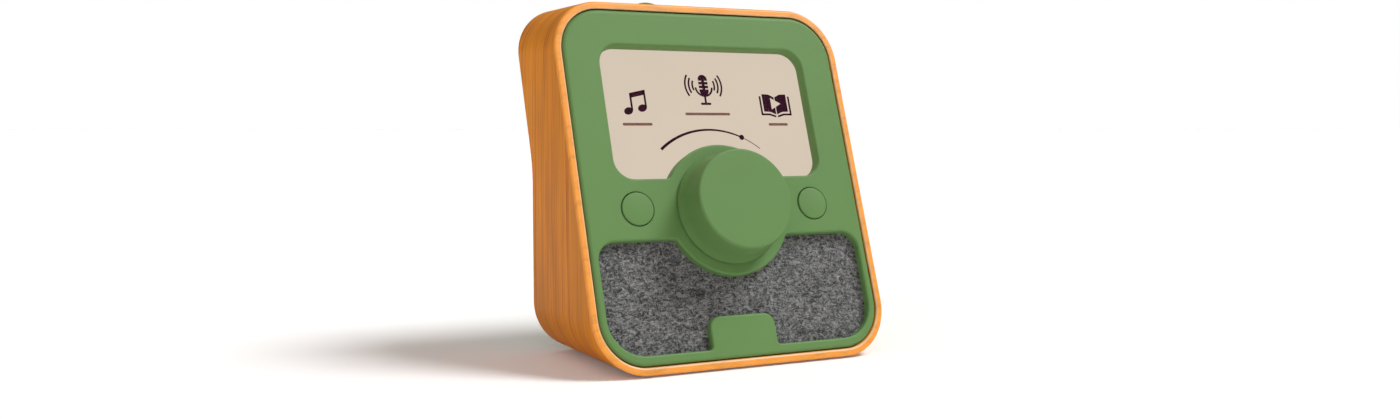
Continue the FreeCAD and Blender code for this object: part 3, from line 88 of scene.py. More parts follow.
class PlayerSizes(bpy.types.PropertyGroup):
    """Sizes of the player; most repeat those of the CAD source."""

    lean: FloatProperty(name="Lean", description="How far the face leans back", unit="ROTATION",
                        default=math.radians(19.4))
    shell_width: length("Shell width", "Outside width of the wooden tube", 124.6)
    shell_height: length("Shell height", "Outside height of the wooden tube", 136.8)
    shell_radius: length("Shell radius", "Outside corner radius of the wooden tube", 20)
    shell_wall: length("Shell wall", "Thickness of the bent wood", 2.8)
    shell_depth: length("Shell depth", "Depth of the upper part, square to the face", 40)
    lower_back: length("Lower back", "Distance of the upright lower back behind the face's middle", 44)
    back_bend: length("Back bend", "Radius between the lower and the leaning back", 40)
    rim_edge: length("Rim edge", "Rounding of the wood's outer front edge", 0.9)
    rim_inner_edge: length("Inner rim edge", "Rounding of the wood's inner front edge", 0.6)
    foot_proud: length("Foot height", "How far the feet stand out below the wood", 0.8)
    foot_radius: length("Foot radius", "Radius of a rubber foot", 5.5)
    foot_sunk: length("Foot seat", "Depth of the seats cut for the feet", 0.8)
    seat_gap: length("Seat gap", "Gap round the face and the cover", 0.3)
    face_thick: length("Face thickness", "Wall of the moulded face", 2.4)
    face_edge: length("Face edge", "Rounding of the moulded face's rim", 1.6)
    skirt_thick: length("Skirt thickness", "Wall of the face's skirt", 2.0)
    skirt_depth: length("Skirt depth", "Depth of the face's skirt", 12)
    window_edge: length("Window edge", "Rounding of the window edges", 0.9)
    hub_drop: length("Hub drop", "How far the knob sits below the face's middle", 11.6)
    hub_radius: length("Hub radius", "Radius of the round land under the knob", 26.1)
    hub_fillet: length("Hub fillet", "Rounding where the land meets a window", 1.6)
    screen_side: length("Screen side", "Width of the face beside the screen", 14.5)
    screen_brow: length("Screen brow", "Height of the face above the screen", 14.3)
    screen_above_hub: length("Screen above hub", "Screen's lower edge above the knob's axis", 12.8)
    screen_radius: length("Screen radius", "Corner radius of the screen window", 8)
    screen_depth: length("Screen depth", "How deep the screen window is", 4.6)
    pane_thick: length("Pane thickness", "Thickness of the clear pane", 1.2)
    speaker_side: length("Speaker side", "Width of the face beside the speaker", 3.2)
    speaker_rail: length("Speaker rail", "Height of the face below the speaker", 4.2)
    speaker_below_hub: length("Speaker below hub", "Speaker's upper edge below the knob's axis", 11)
    speaker_top_radius: length("Speaker top radius", "Upper corner radius", 7)
    speaker_low_radius: length("Speaker low radius", "Lower corner radius", 14)
    felt_depth: length("Felt depth", "How deep the felt lies behind the face", 3.2)
    felt_thick: length("Felt thickness", "Thickness of the felt sheet", 1.0)
    tab_place: length("Tab place", "How far the tab's middle lies left of the face's middle", 1.75)
    tab_width: length("Tab width", "Width of the plain tab", 27.7)
    tab_height: length("Tab height", "Height of the plain tab", 12.3)
    tab_radius: length("Tab radius", "Upper corner radius of the tab", 4.5)
    tab_foot: length("Tab foot", "Rounding at the tab's feet", 1.5)
    small_edge: length("Small edge", "Rounding of the knob's foot and the buttons' rims", 0.4)
    lens_land: length("Pane land", "How far the pane reaches past its window", 1.6)
    felt_land: length("Felt land", "How far the wall round the felt reaches past its window", 0.9)
    felt_lap: length("Felt lap", "How far the felt reaches past its window", 0.8)
    well_lip: length("Well lip", "Rounding of a button hole", 0.35)
    well_radius: length("Well radius", "Radius inside the wall round a button", 7.85)
    well_wall: length("Well wall", "Wall round a button behind the face", 1.6)
    well_depth: length("Well depth", "Depth of the wall round a button", 4.2)
    hub_bore: length("Hub bore", "Radius of the shaft's hole in the land", 3.6)
    hub_boss: length("Hub boss", "Radius of the boss behind the land", 9)
    hub_boss_depth: length("Hub boss depth", "Depth of the boss behind the land", 5.5)
    knob_radius: length("Knob radius", "Radius of the knob at the face", 20.8)
    knob_top_radius: length("Knob top radius", "Radius of the knob's flat top", 19.6)
    knob_proud: length("Knob height", "How far the knob stands out", 14.8)
    knob_flare: length("Knob flare", "How far the knob's foot flares out", 1.3)
    knob_edge: length("Knob edge", "Rounding of the knob's top edge", 1.0)
    knob_gap: length("Knob gap", "Gap between the knob and the face", 0.65)
    knob_wall: length("Knob wall", "Wall of the hollow knob", 2.0)
    knob_roof: length("Knob roof", "Thickness of the knob's flat top", 2.4)
    knob_boss: length("Knob boss", "Radius of the boss inside the knob", 5.5)
    knob_boss_low: length("Knob boss end", "Height of the boss's end over the face", 4.1)
    shaft_bore: length("Shaft bore", "Radius of the bore for the shaft", 3.03)
    shaft_end: length("Shaft end", "Height of the shaft's end over the face", 11)
    button_side: length("Button side", "Distance of a button from the face's side", 21.2)
    button_above_hub: length("Button above hub", "Height of the buttons over the knob's axis", 1.1)
    button_radius: length("Button radius", "Radius of a front button", 6.35)
    button_proud: length("Button height", "How far a front button stands out", 0.4)
    button_dome: length("Button crown", "Crown of a front button", 0.35)
    button_gap: length("Button gap", "Gap round a button", 0.3)
    flange_radius: length("Flange radius", "Radius of a front button's flange", 7.55)
    flange_depth: length("Flange depth", "Depth of a front button's flange behind the face", 2.5)
    flange_thick: length("Flange thickness", "Thickness of a front button's flange", 0.8)
    stem_radius: length("Stem radius", "Radius of a button's stem", 2.2)
    stem_depth: length("Stem depth", "Depth of a front button's stem behind the face", 7)
    top_place: length("Top button place", "How far the top button sits left of the middle", 11.6)
    top_back: length("Top button back", "Distance of the top button behind the face's middle", 47)
    top_radius: length("Top button radius", "Radius of the top button", 6.5)
    top_proud: length("Top button height", "How far the top button stands out", 3.0)
    top_dome: length("Top button crown", "Crown of the top button", 2.2)
    top_flange_drop: length("Top flange drop", "How far the top button's flange lies below the wood", 1.7)
    top_flange_out: length("Top flange width", "How far the top button's flange stands out", 1.2)
    top_flange_thick: length("Top flange thickness", "Thickness of the top button's flange", 1.0)
    cover_inset: length("Cover inset", "How far the rear cover lies inside the tube", 1.2)
    cover_thick: length("Cover thickness", "Wall of the rear cover", 2.4)
    cover_edge: length("Cover edge", "Rounding of the rear cover's rim", 0.9)
    cover_skirt: length("Cover skirt", "Wall of the rear cover's skirt", 2.0)
    cover_skirt_end: length("Cover skirt end", "Depth of the skirt's end inside the tube", 6)
    screw_head: length("Screw head", "Radius of a cover screw's head", 2.7)
    screw_hole: length("Screw hole", "Radius of a cover screw's hole", 1.53)
    screw_well: length("Screw well", "Radius of the well over a cover screw", 3.0)
    screw_well_deep: length("Screw well depth", "Depth of the well over a cover screw", 7)
    screw_well_wall: length("Screw well wall", "Wall round the well over a cover screw", 1.0)
    jack_hole: length("Jack hole", "Radius of the cover's hole for the headphone socket", 3.3)


class PlayerColours(bpy.types.PropertyGroup):
    """Colours of the finishes."""

    wood: colour("Wood", "Oiled bent wood", 233, 145, 14)
    wood_dark: colour("Wood streaks", "Dark streaks in the grain", 194, 98, 8)
    # painted highlight: the pale colour of the rim's rounded inner edge stands in for the light it catches
    wood_rim: colour("Wood rim", "Cut front edge of the wood", 246, 160, 62)
    painted_rim_highlight: colour("Inner rim", "Pale inner edge of the rim", 236, 184, 134)
    green: colour("Green", "Moulded face, knob and buttons", 101, 139, 79)
    # the screen colour is shown as full glow: painted light in place of the light and shade in its window
    screen: colour("Screen", "Lit screen", 216, 201, 182)
    ink: colour("Ink", "Pictures on the screen", 50, 15, 34)
    ink_soft: colour("Soft ink", "Lesser marks on the screen", 128, 92, 84)
    felt_dark: colour("Felt dark", "Dark fibres of the felt", 54, 54, 55)
    felt_light: colour("Felt light", "Pale fibres of the felt", 138, 138, 138)
    floor: colour("Floor", "Studio floor", 252, 250, 249)


def layout():
    """Every place on the object, worked out from the sizes."""
    size = bpy.context.scene.player_sizes
    plan = SimpleNamespace(size=size, sin=math.sin(size.lean), cos=math.cos(size.lean))
    plan.mid_y = -size.shell_depth / (2 * plan.cos)
    plan.mid_z = size.foot_proud + size.shell_height / 2
    plan.bore_w = size.shell_width - 2 * size.shell_wall
    plan.bore_h = size.shell_height - 2 * size.shell_wall
    plan.bore_r = size.shell_radius - size.shell_wall
    plan.half_w = plan.bore_w / 2 - size.seat_gap
    plan.half_h = (plan.bore_h / 2 - size.seat_gap) / plan.cos
    plan.hub_up = -size.hub_drop
    plan.screen_half = plan.half_w - size.screen_side
    plan.screen_low = plan.hub_up + size.screen_above_hub
    plan.screen_high = plan.half_h - size.screen_brow
    plan.speaker_half = plan.half_w - size.speaker_side
    plan.speaker_low = size.speaker_rail - plan.half_h
    plan.speaker_high = plan.hub_up - size.speaker_below_hub
    plan.tab_top = plan.speaker_low + size.tab_height
    plan.button_x = plan.half_w - size.button_side
    plan.button_up = plan.hub_up + size.button_above_hub
    plan.shell_top = plan.mid_z + size.shell_height / 2

    def face(x, up, depth=0.0):
        return Vector((x, plan.mid_y + up * plan.sin + depth * plan.cos,
                       plan.mid_z + up * plan.cos - depth * plan.sin))

    def front_y(z, depth=0.0):
        return plan.mid_y + z * plan.sin / plan.cos + depth / plan.cos

    def back_y(z, inset=0.0):
        half = size.lean / 2
        rise = (size.lower_back - size.shell_depth / plan.cos) * plan.cos / plan.sin
        corner_y = plan.mid_y + size.lower_back - inset
        corner_z = rise - inset * math.tan(half)
        radius = size.back_bend + inset
        reach = radius * math.tan(half)
        if z <= corner_z - reach:
            return corner_y
        if z >= corner_z + reach * plan.cos:
            return plan.mid_y + z * plan.sin / plan.cos + (size.shell_depth - inset) / plan.cos
        rise_from_end = z - (corner_z - reach)
        return corner_y + radius - math.sqrt(radius * radius - rise_from_end * rise_from_end)

    plan.face, plan.front_y, plan.back_y = face, front_y, back_y
    return plan


def rounding(radius, steps=6):
    """Steps of a rounded edge: (distance in from the side, distance down from the top)."""
    made = []
    for step in range(steps + 1):
        angle = math.radians(90 * step / steps)
        made.append((radius * (1 - math.cos(angle)), radius * (1 - math.sin(angle))))
    return made


def section(half_w, half_h, radius, heights=(), steps=14):
    """Points round a rounded rectangle: up the right side, then down the left as its mirror."""
    right = []
    for step in range(steps + 1):
        angle = math.radians(-90 + 90 * step / steps)
        right.append((half_w - radius + radius * math.cos(angle),
                      radius - half_h + radius * math.sin(angle)))
    right += [(half_w, z) for z in heights]
    for step in range(steps + 1):
        angle = math.radians(90 * step / steps)
        right.append((half_w - radius + radius * math.cos(angle),
                      half_h - radius + radius * math.sin(angle)))
    return right + [(-x, z) for x, z in reversed(right)]


def arc_path(arcs, grow):
    """Points along joined arcs (x, up, radius, side, from, to), with every edge moved by grow."""
    points = []
    for x, up, radius, side, start, end in arcs:
        steps = max(4, math.ceil(abs(end - start) / 5))
        r = radius + side * grow
        for step in range(steps + 1):
            angle = math.radians(start + (end - start) * step / steps)
            points.append((x + r * math.cos(angle), up + r * math.sin(angle)))
    return points


def hub_crossing(plan, edge_up, side):
    """Where a fillet sits between the round land and a straight edge; side is 1 above it."""
    fillet = plan.size.hub_fillet
    rise = abs(edge_up + side * fillet - plan.hub_up)
    reach = math.sqrt((plan.size.hub_radius + fillet) ** 2 - rise * rise)
    return reach, edge_up + side * fillet, math.degrees(math.atan2(rise, reach))


def screen_arcs(plan):
    size = plan.size
    reach, up, turn = hub_crossing(plan, plan.screen_low, 1)
    side = plan.screen_half - size.screen_radius
    low, high = plan.screen_low + size.screen_radius, plan.screen_high - size.screen_radius
    return [
        (-side, low, size.screen_radius, 1, 180, 270),
        (-reach, up, size.hub_fillet, 1, 270, 360 - turn),
        (0, plan.hub_up, size.hub_radius, -1, 180 - turn, turn),
        (reach, up, size.hub_fillet, 1, 180 + turn, 270),
        (side, low, size.screen_radius, 1, 270, 360),
        (side, high, size.screen_radius, 1, 0, 90),
        (-side, high, size.screen_radius, 1, 90, 180),
    ]


def speaker_arcs(plan):
    size = plan.size
    reach, up, turn = hub_crossing(plan, plan.speaker_high, -1)
    low_side, low_up = plan.speaker_half - size.speaker_low_radius, plan.speaker_low + size.speaker_low_radius
    top_side, top_up = plan.speaker_half - size.speaker_top_radius, plan.speaker_high - size.speaker_top_radius
    left, right = -size.tab_place - size.tab_width / 2, -size.tab_place + size.tab_width / 2
    shoulder = plan.tab_top - size.tab_radius
    return [
        (-low_side, low_up, size.speaker_low_radius, 1, 180, 270),
        (left - size.tab_foot, plan.speaker_low + size.tab_foot, size.tab_foot, 1, 270, 360),
        (left + size.tab_radius, shoulder, size.tab_radius, -1, 180, 90),
        (right - size.tab_radius, shoulder, size.tab_radius, -1, 90, 0),
        (right + size.tab_foot, plan.speaker_low + size.tab_foot, size.tab_foot, 1, 180, 270),
        (low_side, low_up, size.speaker_low_radius, 1, 270, 360),
        (top_side, top_up, size.speaker_top_radius, 1, 0, 90),
        (reach, up, size.hub_fillet, 1, 90, 180 - turn),
        (0, plan.hub_up, size.hub_radius, -1, -turn, turn - 180),
        (-reach, up, size.hub_fillet, 1, turn, 90),
        (-top_side, top_up, size.speaker_top_radius, 1, 90, 180),
    ]


def skin(mesh, loops, wrap=False, finishes=None):
    """Joins loops of points with faces; a loop of one point closes as a fan."""
    rows = [[mesh.verts.new(point) for point in loop] for loop in loops]
    joins = list(zip(rows, rows[1:])) + ([(rows[-1], rows[0])] if wrap else [])
    for index, (near, far) in enumerate(joins):
        count = max(len(near), len(far))
        for i in range(count):
            j = (i + 1) % count
            if len(near) == 1:
                corners = (near[0], far[j], far[i])
            elif len(far) == 1:
                corners = (near[i], near[j], far[0])
            else:
                corners = (near[i], near[j], far[j], far[i])
            made = mesh.faces.new(corners)
            if finishes:
                made.material_index = finishes[index]
    return rows


def fill(mesh, outer, holes):
    """Fills a flat or bent area between an outer row of points and the rows of its holes."""
    rows = [outer, *holes]
    verts = [vert for row in rows for vert in row]
    edges, start = [], 0
    for row in rows:
        edges += [(start + k, start + (k + 1) % len(row)) for k in range(len(row))]
        start += len(row)
    made = delaunay_2d_cdt([Vector((v.co.x, v.co.z)) for v in verts], edges, [], 1, 1e-9)
    places, faces, origin = made[0], made[2], made[3]
    if not faces:
        raise RuntimeError("nothing to fill between the outline and its holes")
    for face in faces:
        x = sum(places[i].x for i in face) / len(face)
        z = sum(places[i].y for i in face) / len(face)
        if not any(inside(row, x, z) for row in holes):
            mesh.faces.new([verts[origin[i][0]] for i in face])


def inside(row, x, z):
    """Whether a spot lies within a closed row of points, seen from the front."""
    within = False
    for one, two in zip(row, row[1:] + row[:1]):
        if (one.co.z > z) != (two.co.z > z):
            cross = one.co.x + (z - one.co.z) * (two.co.x - one.co.x) / (two.co.z - one.co.z)
            within = within != (x < cross)
    return within


def turned(mesh, place, profile, steps=96):
    """Turns a profile of (radius, height) about an axis; place(angle, radius, height) is a point."""
    loops = []
    for radius, height in profile:
        if radius < 1e-7:
            loops.append([place(0, 0, height)])
        else:
            loops.append([place(2 * math.pi * step / steps, radius, height) for step in range(steps)])
    return skin(mesh, loops)


def about_face(plan, x, up):
    """Places round an axis square to the face; height is depth behind the face."""
    return lambda angle, radius, depth: plan.face(
        x + radius * math.cos(angle), up + radius * math.sin(angle), depth)


def about_z(x, y):
    return lambda angle, radius, height: Vector(
        (x + radius * math.cos(angle), y + radius * math.sin(angle), height))


def about_y(x, z):
    return lambda angle, radius, height: Vector(
        (x + radius * math.cos(angle), height, z - radius * math.sin(angle)))


def finish_piece(name, mesh, materials, body, replaces=(), sharp=32, weighted=True):
    """Turns a mesh under construction into a named piece that rides on a body."""
    bmesh.ops.recalc_face_normals(mesh, faces=mesh.faces)
    data = bpy.data.meshes.new(name)
    mesh.to_mesh(data)
    mesh.free()
    data.shade_smooth()
    data.set_sharp_from_angle(angle=math.radians(sharp))
    for material in materials:
        data.materials.append(material)
    piece = bpy.data.objects.new(name, data)
    bpy.context.scene.collection.objects.link(piece)
    if weighted:
        modifier = piece.modifiers.new("even_normals", "WEIGHTED_NORMAL")
        modifier.keep_sharp = True
        modifier.weight = 100
    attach(piece, body)
    if replaces:
        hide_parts(*replaces)
    return piece


def carve(piece, cutter_mesh):
    """Cuts the cutter's shape out of a piece, for good."""
    bmesh.ops.recalc_face_normals(cutter_mesh, faces=cutter_mesh.faces)
    data = bpy.data.meshes.new("cutter")
    cutter_mesh.to_mesh(data)
    cutter_mesh.free()
    cutter = bpy.data.objects.new("cutter", data)
    bpy.context.scene.collection.objects.link(cutter)
    modifier = piece.modifiers.new("carve", "BOOLEAN")
    modifier.operation, modifier.solver, modifier.object = "DIFFERENCE", "EXACT", cutter
    piece.modifiers.move(len(piece.modifiers) - 1, 0)
    weighted = piece.modifiers.get("even_normals")
    if weighted:
        weighted.show_viewport = False
    bpy.context.view_layer.update()
    cut = bpy.data.meshes.new_from_object(piece.evaluated_get(bpy.context.evaluated_depsgraph_get()))
    if len(cut.polygons) == 0:
        raise RuntimeError("the cut left nothing of " + piece.name)
    cut.name = piece.name
    piece.modifiers.remove(modifier)
    old, piece.data = piece.data, cut
    bpy.data.meshes.remove(old)
    bpy.data.objects.remove(cutter)
    bpy.data.meshes.remove(data)
    if weighted:
        weighted.show_viewport = True
    cut.shade_smooth()
    cut.set_sharp_from_angle(angle=math.radians(32))


class Finish:
    """A node material being made: a principled shader with its textures."""

    def __init__(self, name, colour, roughness, **sockets):
        self.material = bpy.data.materials.new(name)
        self.material.use_nodes = True
        self.nodes = self.material.node_tree.nodes
        self.links = self.material.node_tree.links
        self.shader = self.nodes["Principled BSDF"]
        self.shader.inputs["Base Color"].default_value = (*colour, 1)
        self.shader.inputs["Roughness"].default_value = roughness
        for socket, value in sockets.items():
            self.shader.inputs[socket.replace("_", " ").title().replace("Ior", "IOR")].default_value = value
        self.place = self.nodes.new("ShaderNodeTexCoord").outputs["Object"]

    def stretched(self, scale, turn=(0, 0, 0)):
        node = self.nodes.new("ShaderNodeMapping")
        node.inputs["Scale"].default_value = scale
        node.inputs["Rotation"].default_value = turn
        self.links.new(self.place, node.inputs["Vector"])
        return node.outputs["Vector"]

    def noise(self, scale, detail=4, roughness=0.55, distortion=0.0, turn=(0, 0, 0)):
        node = self.nodes.new("ShaderNodeTexNoise")
        node.inputs["Scale"].default_value = 1
        node.inputs["Detail"].default_value = detail
        node.inputs["Roughness"].default_value = roughness
        node.inputs["Distortion"].default_value = distortion
        self.links.new(self.stretched(scale, turn), node.inputs["Vector"])
        return node.outputs["Fac"]

    def cells(self, scale, randomness=1.0):
        node = self.nodes.new("ShaderNodeTexVoronoi")
        node.inputs["Scale"].default_value = 1
        node.inputs["Randomness"].default_value = randomness
        self.links.new(self.stretched(scale), node.inputs["Vector"])
        return node.outputs["Distance"]

    def ramp(self, value, stops):
        node = self.nodes.new("ShaderNodeValToRGB")
        marks = node.color_ramp.elements
        while len(marks) < len(stops):
            marks.new(0.5)
        for mark, (place, shade) in zip(marks, stops):
            mark.position = place
            mark.color = (*shade, 1) if hasattr(shade, "__len__") else (shade, shade, shade, 1)
        self.links.new(value, node.inputs["Fac"])
        return node.outputs["Color"]

    def mixed(self, share, first, second, blend="MIX"):
        node = self.nodes.new("ShaderNodeMix")
        node.data_type, node.blend_type = "RGBA", blend
        for socket, value in ((node.inputs[0], share), (node.inputs[6], first), (node.inputs[7], second)):
            if isinstance(value, bpy.types.NodeSocket):
                self.links.new(value, socket)
            elif hasattr(value, "__len__"):
                socket.default_value = (*value, 1)
            else:
                socket.default_value = value
        return node.outputs[2]

    def sum(self, first, second, share=0.5):
        node = self.nodes.new("ShaderNodeMix")
        node.data_type = "FLOAT"
        node.inputs[0].default_value = share
        self.links.new(first, node.inputs[2])
        self.links.new(second, node.inputs[3])
        return node.outputs[0]

    def paint(self, colour):
        self.links.new(colour, self.shader.inputs["Base Color"])

    def gloss(self, value, low, high):
        node = self.nodes.new("ShaderNodeMapRange")
        node.inputs["To Min"].default_value = low
        node.inputs["To Max"].default_value = high
        self.links.new(value, node.inputs["Value"])
        self.links.new(node.outputs["Result"], self.shader.inputs["Roughness"])

    def relief(self, value, distance, strength=1.0):
        node = self.nodes.new("ShaderNodeBump")
        node.inputs["Strength"].default_value = strength
        node.inputs["Distance"].default_value = distance
        self.links.new(value, node.inputs["Height"])
        self.links.new(node.outputs["Normal"], self.shader.inputs["Normal"])


def shade(colour, factor):
    return tuple(min(1.0, channel * factor) for channel in colour)


def wood_finish():
    """Oiled veneer: streaks run round the tube, so they change fast along its depth only."""
    colours = bpy.context.scene.player_colours
    made = Finish("oiled_wood", colours.wood, 0.5, specular_ior_level=0.22)
    broad = made.noise((9, 75, 9), 3, 0.5, 0.5)
    streak = made.noise((12, 760, 12), 6, 0.6, 0.7)
    fine = made.noise((40, 2600, 40), 5, 0.7, 0.3)
    base = made.ramp(broad, [(0.28, shade(colours.wood, 0.84)), (0.5, tuple(colours.wood)),
                             (0.74, shade(colours.wood, 1.13))])
    lines = made.ramp(streak, [(0.33, 1.0), (0.43, 0.45), (0.52, 0.0)])
    coloured = made.mixed(lines, base, tuple(colours.wood_dark))
    pores = made.ramp(fine, [(0.34, 0.6), (0.47, 0.93), (0.6, 1.0)])
    made.paint(made.mixed(0.45, coloured, pores, "MULTIPLY"))
    made.gloss(fine, 0.44, 0.58)
    made.relief(made.sum(fine, streak, 0.35), 0.00012, 0.35)
    return made.material


def rim_finish(name, colour):
    """The cut edge of the bent plies, with faint streaks across it."""
    made = Finish(name, colour, 0.45)
    across = made.noise((90, 900, 90), 5, 0.6, 0.4)
    base = made.ramp(across, [(0.3, shade(colour, 0.8)), (0.5, tuple(colour)), (0.75, shade(colour, 1.08))])
    made.paint(base)
    made.relief(across, 0.00004, 0.2)
    return made.material


def moulded_finish(name, colour, roughness=0.55, grain=2600, strength=0.25):
    """Matt moulded plastic with a fine texture and a faint drift of colour."""
    made = Finish(name, colour, roughness, specular_ior_level=0.3)
    drift = made.noise((18, 18, 18), 2, 0.5)
    grain_value = made.noise((grain, grain, grain), 2, 0.5)
    made.paint(made.ramp(drift, [(0.25, shade(colour, 0.965)), (0.5, tuple(colour)),
                                 (0.75, shade(colour, 1.03))]))
    made.gloss(drift, roughness - 0.04, roughness + 0.04)
    made.relief(grain_value, 0.00003, strength)
    return made.material


def felt_finish():
    """Pressed wool in mixed greys: clumps, crossing fibres, and small pits darkened with painted shade."""
    colours = bpy.context.scene.player_colours
    made = Finish("wool_felt", colours.felt_dark, 0.95, sheen_weight=0.25, sheen_roughness=0.5,
                  specular_ior_level=0.15)
    clumps = made.noise((430, 640, 640), 6, 0.78, 1.0)
    one_way = made.noise((520, 3800, 3800), 3, 0.65, 1.4, (0.35, 0.2, 0.5))
    other_way = made.noise((3800, 1100, 900), 3, 0.65, 1.4, (0.2, 0.9, -0.6))
    # painted shade: small cells are darkened as if shade lay in pits of the felt
    pit_shade = made.cells((1500, 1500, 1500))
    fibres = made.sum(one_way, other_way, 0.5)
    mottle = made.sum(clumps, fibres, 0.5)
    middle = tuple((d + l) / 2 for d, l in zip(colours.felt_dark, colours.felt_light))
    tone = made.ramp(mottle, [(0.41, shade(colours.felt_dark, 0.6)), (0.465, tuple(colours.felt_dark)),
                              (0.505, middle), (0.55, tuple(colours.felt_light)),
                              (0.6, shade(colours.felt_light, 1.5))])
    dark = made.ramp(pit_shade, [(0.05, 0.62), (0.35, 0.95), (0.6, 1.0)])
    made.paint(made.mixed(0.7, tone, dark, "MULTIPLY"))
    made.relief(mottle, 0.0006, 0.8)
    return made.material


def metal_finish(name, colour, roughness):
    made = Finish(name, colour, roughness, metallic=1.0)
    brushed = made.noise((300, 2400, 300), 4, 0.6)
    made.gloss(brushed, roughness - 0.08, roughness + 0.12)
    made.paint(made.ramp(brushed, [(0.3, shade(colour, 0.85)), (0.7, shade(colour, 1.1))]))
    made.relief(brushed, 0.00001, 0.2)
    return made.material


def soft_finish(name, colour, roughness, grain):
    made = Finish(name, colour, roughness, specular_ior_level=0.3)
    value = made.noise((grain, grain, grain), 4, 0.65)
    made.paint(made.ramp(value, [(0.3, shade(colour, 0.75)), (0.7, shade(colour, 1.25))]))
    made.relief(value, 0.0001, 0.4)
    return made.material


def board_finish():
    """Green solder mask with faint copper tracks under it."""
    base = screen_colour(22, 84, 52)
    made = Finish("circuit_board", base, 0.35, coat_weight=0.3, coat_roughness=0.2)
    tracks = made.noise((160, 30, 520), 1, 0.2)
    made.paint(made.ramp(tracks, [(0.47, base), (0.495, shade(base, 1.5)),
                                  (0.505, shade(base, 1.5)), (0.53, base)]))
    made.relief(tracks, 0.00004, 0.3)
    return made.material


def pane_finish():
    made = Finish("clear_pane", (0.3, 0.3, 0.3), 0.25, alpha=0.01, specular_ior_level=0.1)
    smear = made.noise((60, 60, 60), 2, 0.5)
    made.gloss(smear, 0.2, 0.32)
    return made.material


def lit_finish(name, colour, glow):
    """A printed or lit surface of the screen. Its glow gives part of the colour whatever light falls there; at
    full glow this is painted light, taking the place of the light and shade the surface would show.
    """
    made = Finish(name, colour, 0.6, specular_ior_level=0.0)
    drift = made.noise((25, 25, 25), 2, 0.5)
    stops = ((0.3, 0.985), (0.7, 1.01))
    made.paint(made.ramp(drift, [(place, shade(colour, (1 - glow) * level)) for place, level in stops]))
    shown = made.ramp(drift, [(place, shade(colour, level)) for place, level in stops])
    made.links.new(shown, made.shader.inputs["Emission Color"])
    made.shader.inputs["Emission Strength"].default_value = glow
    return made.material


FINISHES = {
    "wood": wood_finish,
    "green_plastic": lambda: moulded_finish("green_moulding", tuple(bpy.context.scene.player_colours.green)),
    "clear_pane": pane_finish,
    # lit screen at full glow: painted light, so neither the lamps nor the shade of its deep window show on the
    # cream
    "display": lambda: lit_finish("lit_screen", tuple(bpy.context.scene.player_colours.screen), 1.0),
    "felt": felt_finish,
    "black_plastic": lambda: moulded_finish("black_moulding", screen_colour(38, 38, 40), 0.5),
    "steel": lambda: metal_finish("plated_steel", screen_colour(190, 190, 188), 0.3),
    "zinc": lambda: metal_finish("die_cast_zinc", screen_colour(170, 172, 175), 0.42),
    "rubber": lambda: soft_finish("black_rubber", screen_colour(34, 34, 35), 0.8, 1200),
    "foam": lambda: soft_finish("cell_foam", screen_colour(48, 48, 50), 0.95, 2200),
    "circuit_board": board_finish,
    "paper": lambda: soft_finish("pressed_paper", screen_colour(52, 50, 48), 0.9, 1500),
    "ferrite": lambda: soft_finish("ferrite", screen_colour(70, 70, 74), 0.6, 900),
    "battery_wrap": lambda: moulded_finish("shrink_film", screen_colour(54, 84, 128), 0.25, 400, 0.4),
}


def finish(slot):
    """The material of a slot, made once."""
    found = bpy.context.scene.get("finish_" + slot)
    if found and found in bpy.data.materials:
        return bpy.data.materials[found]
    made = FINISHES[slot]()
    bpy.context.scene["finish_" + slot] = made.name
    return made


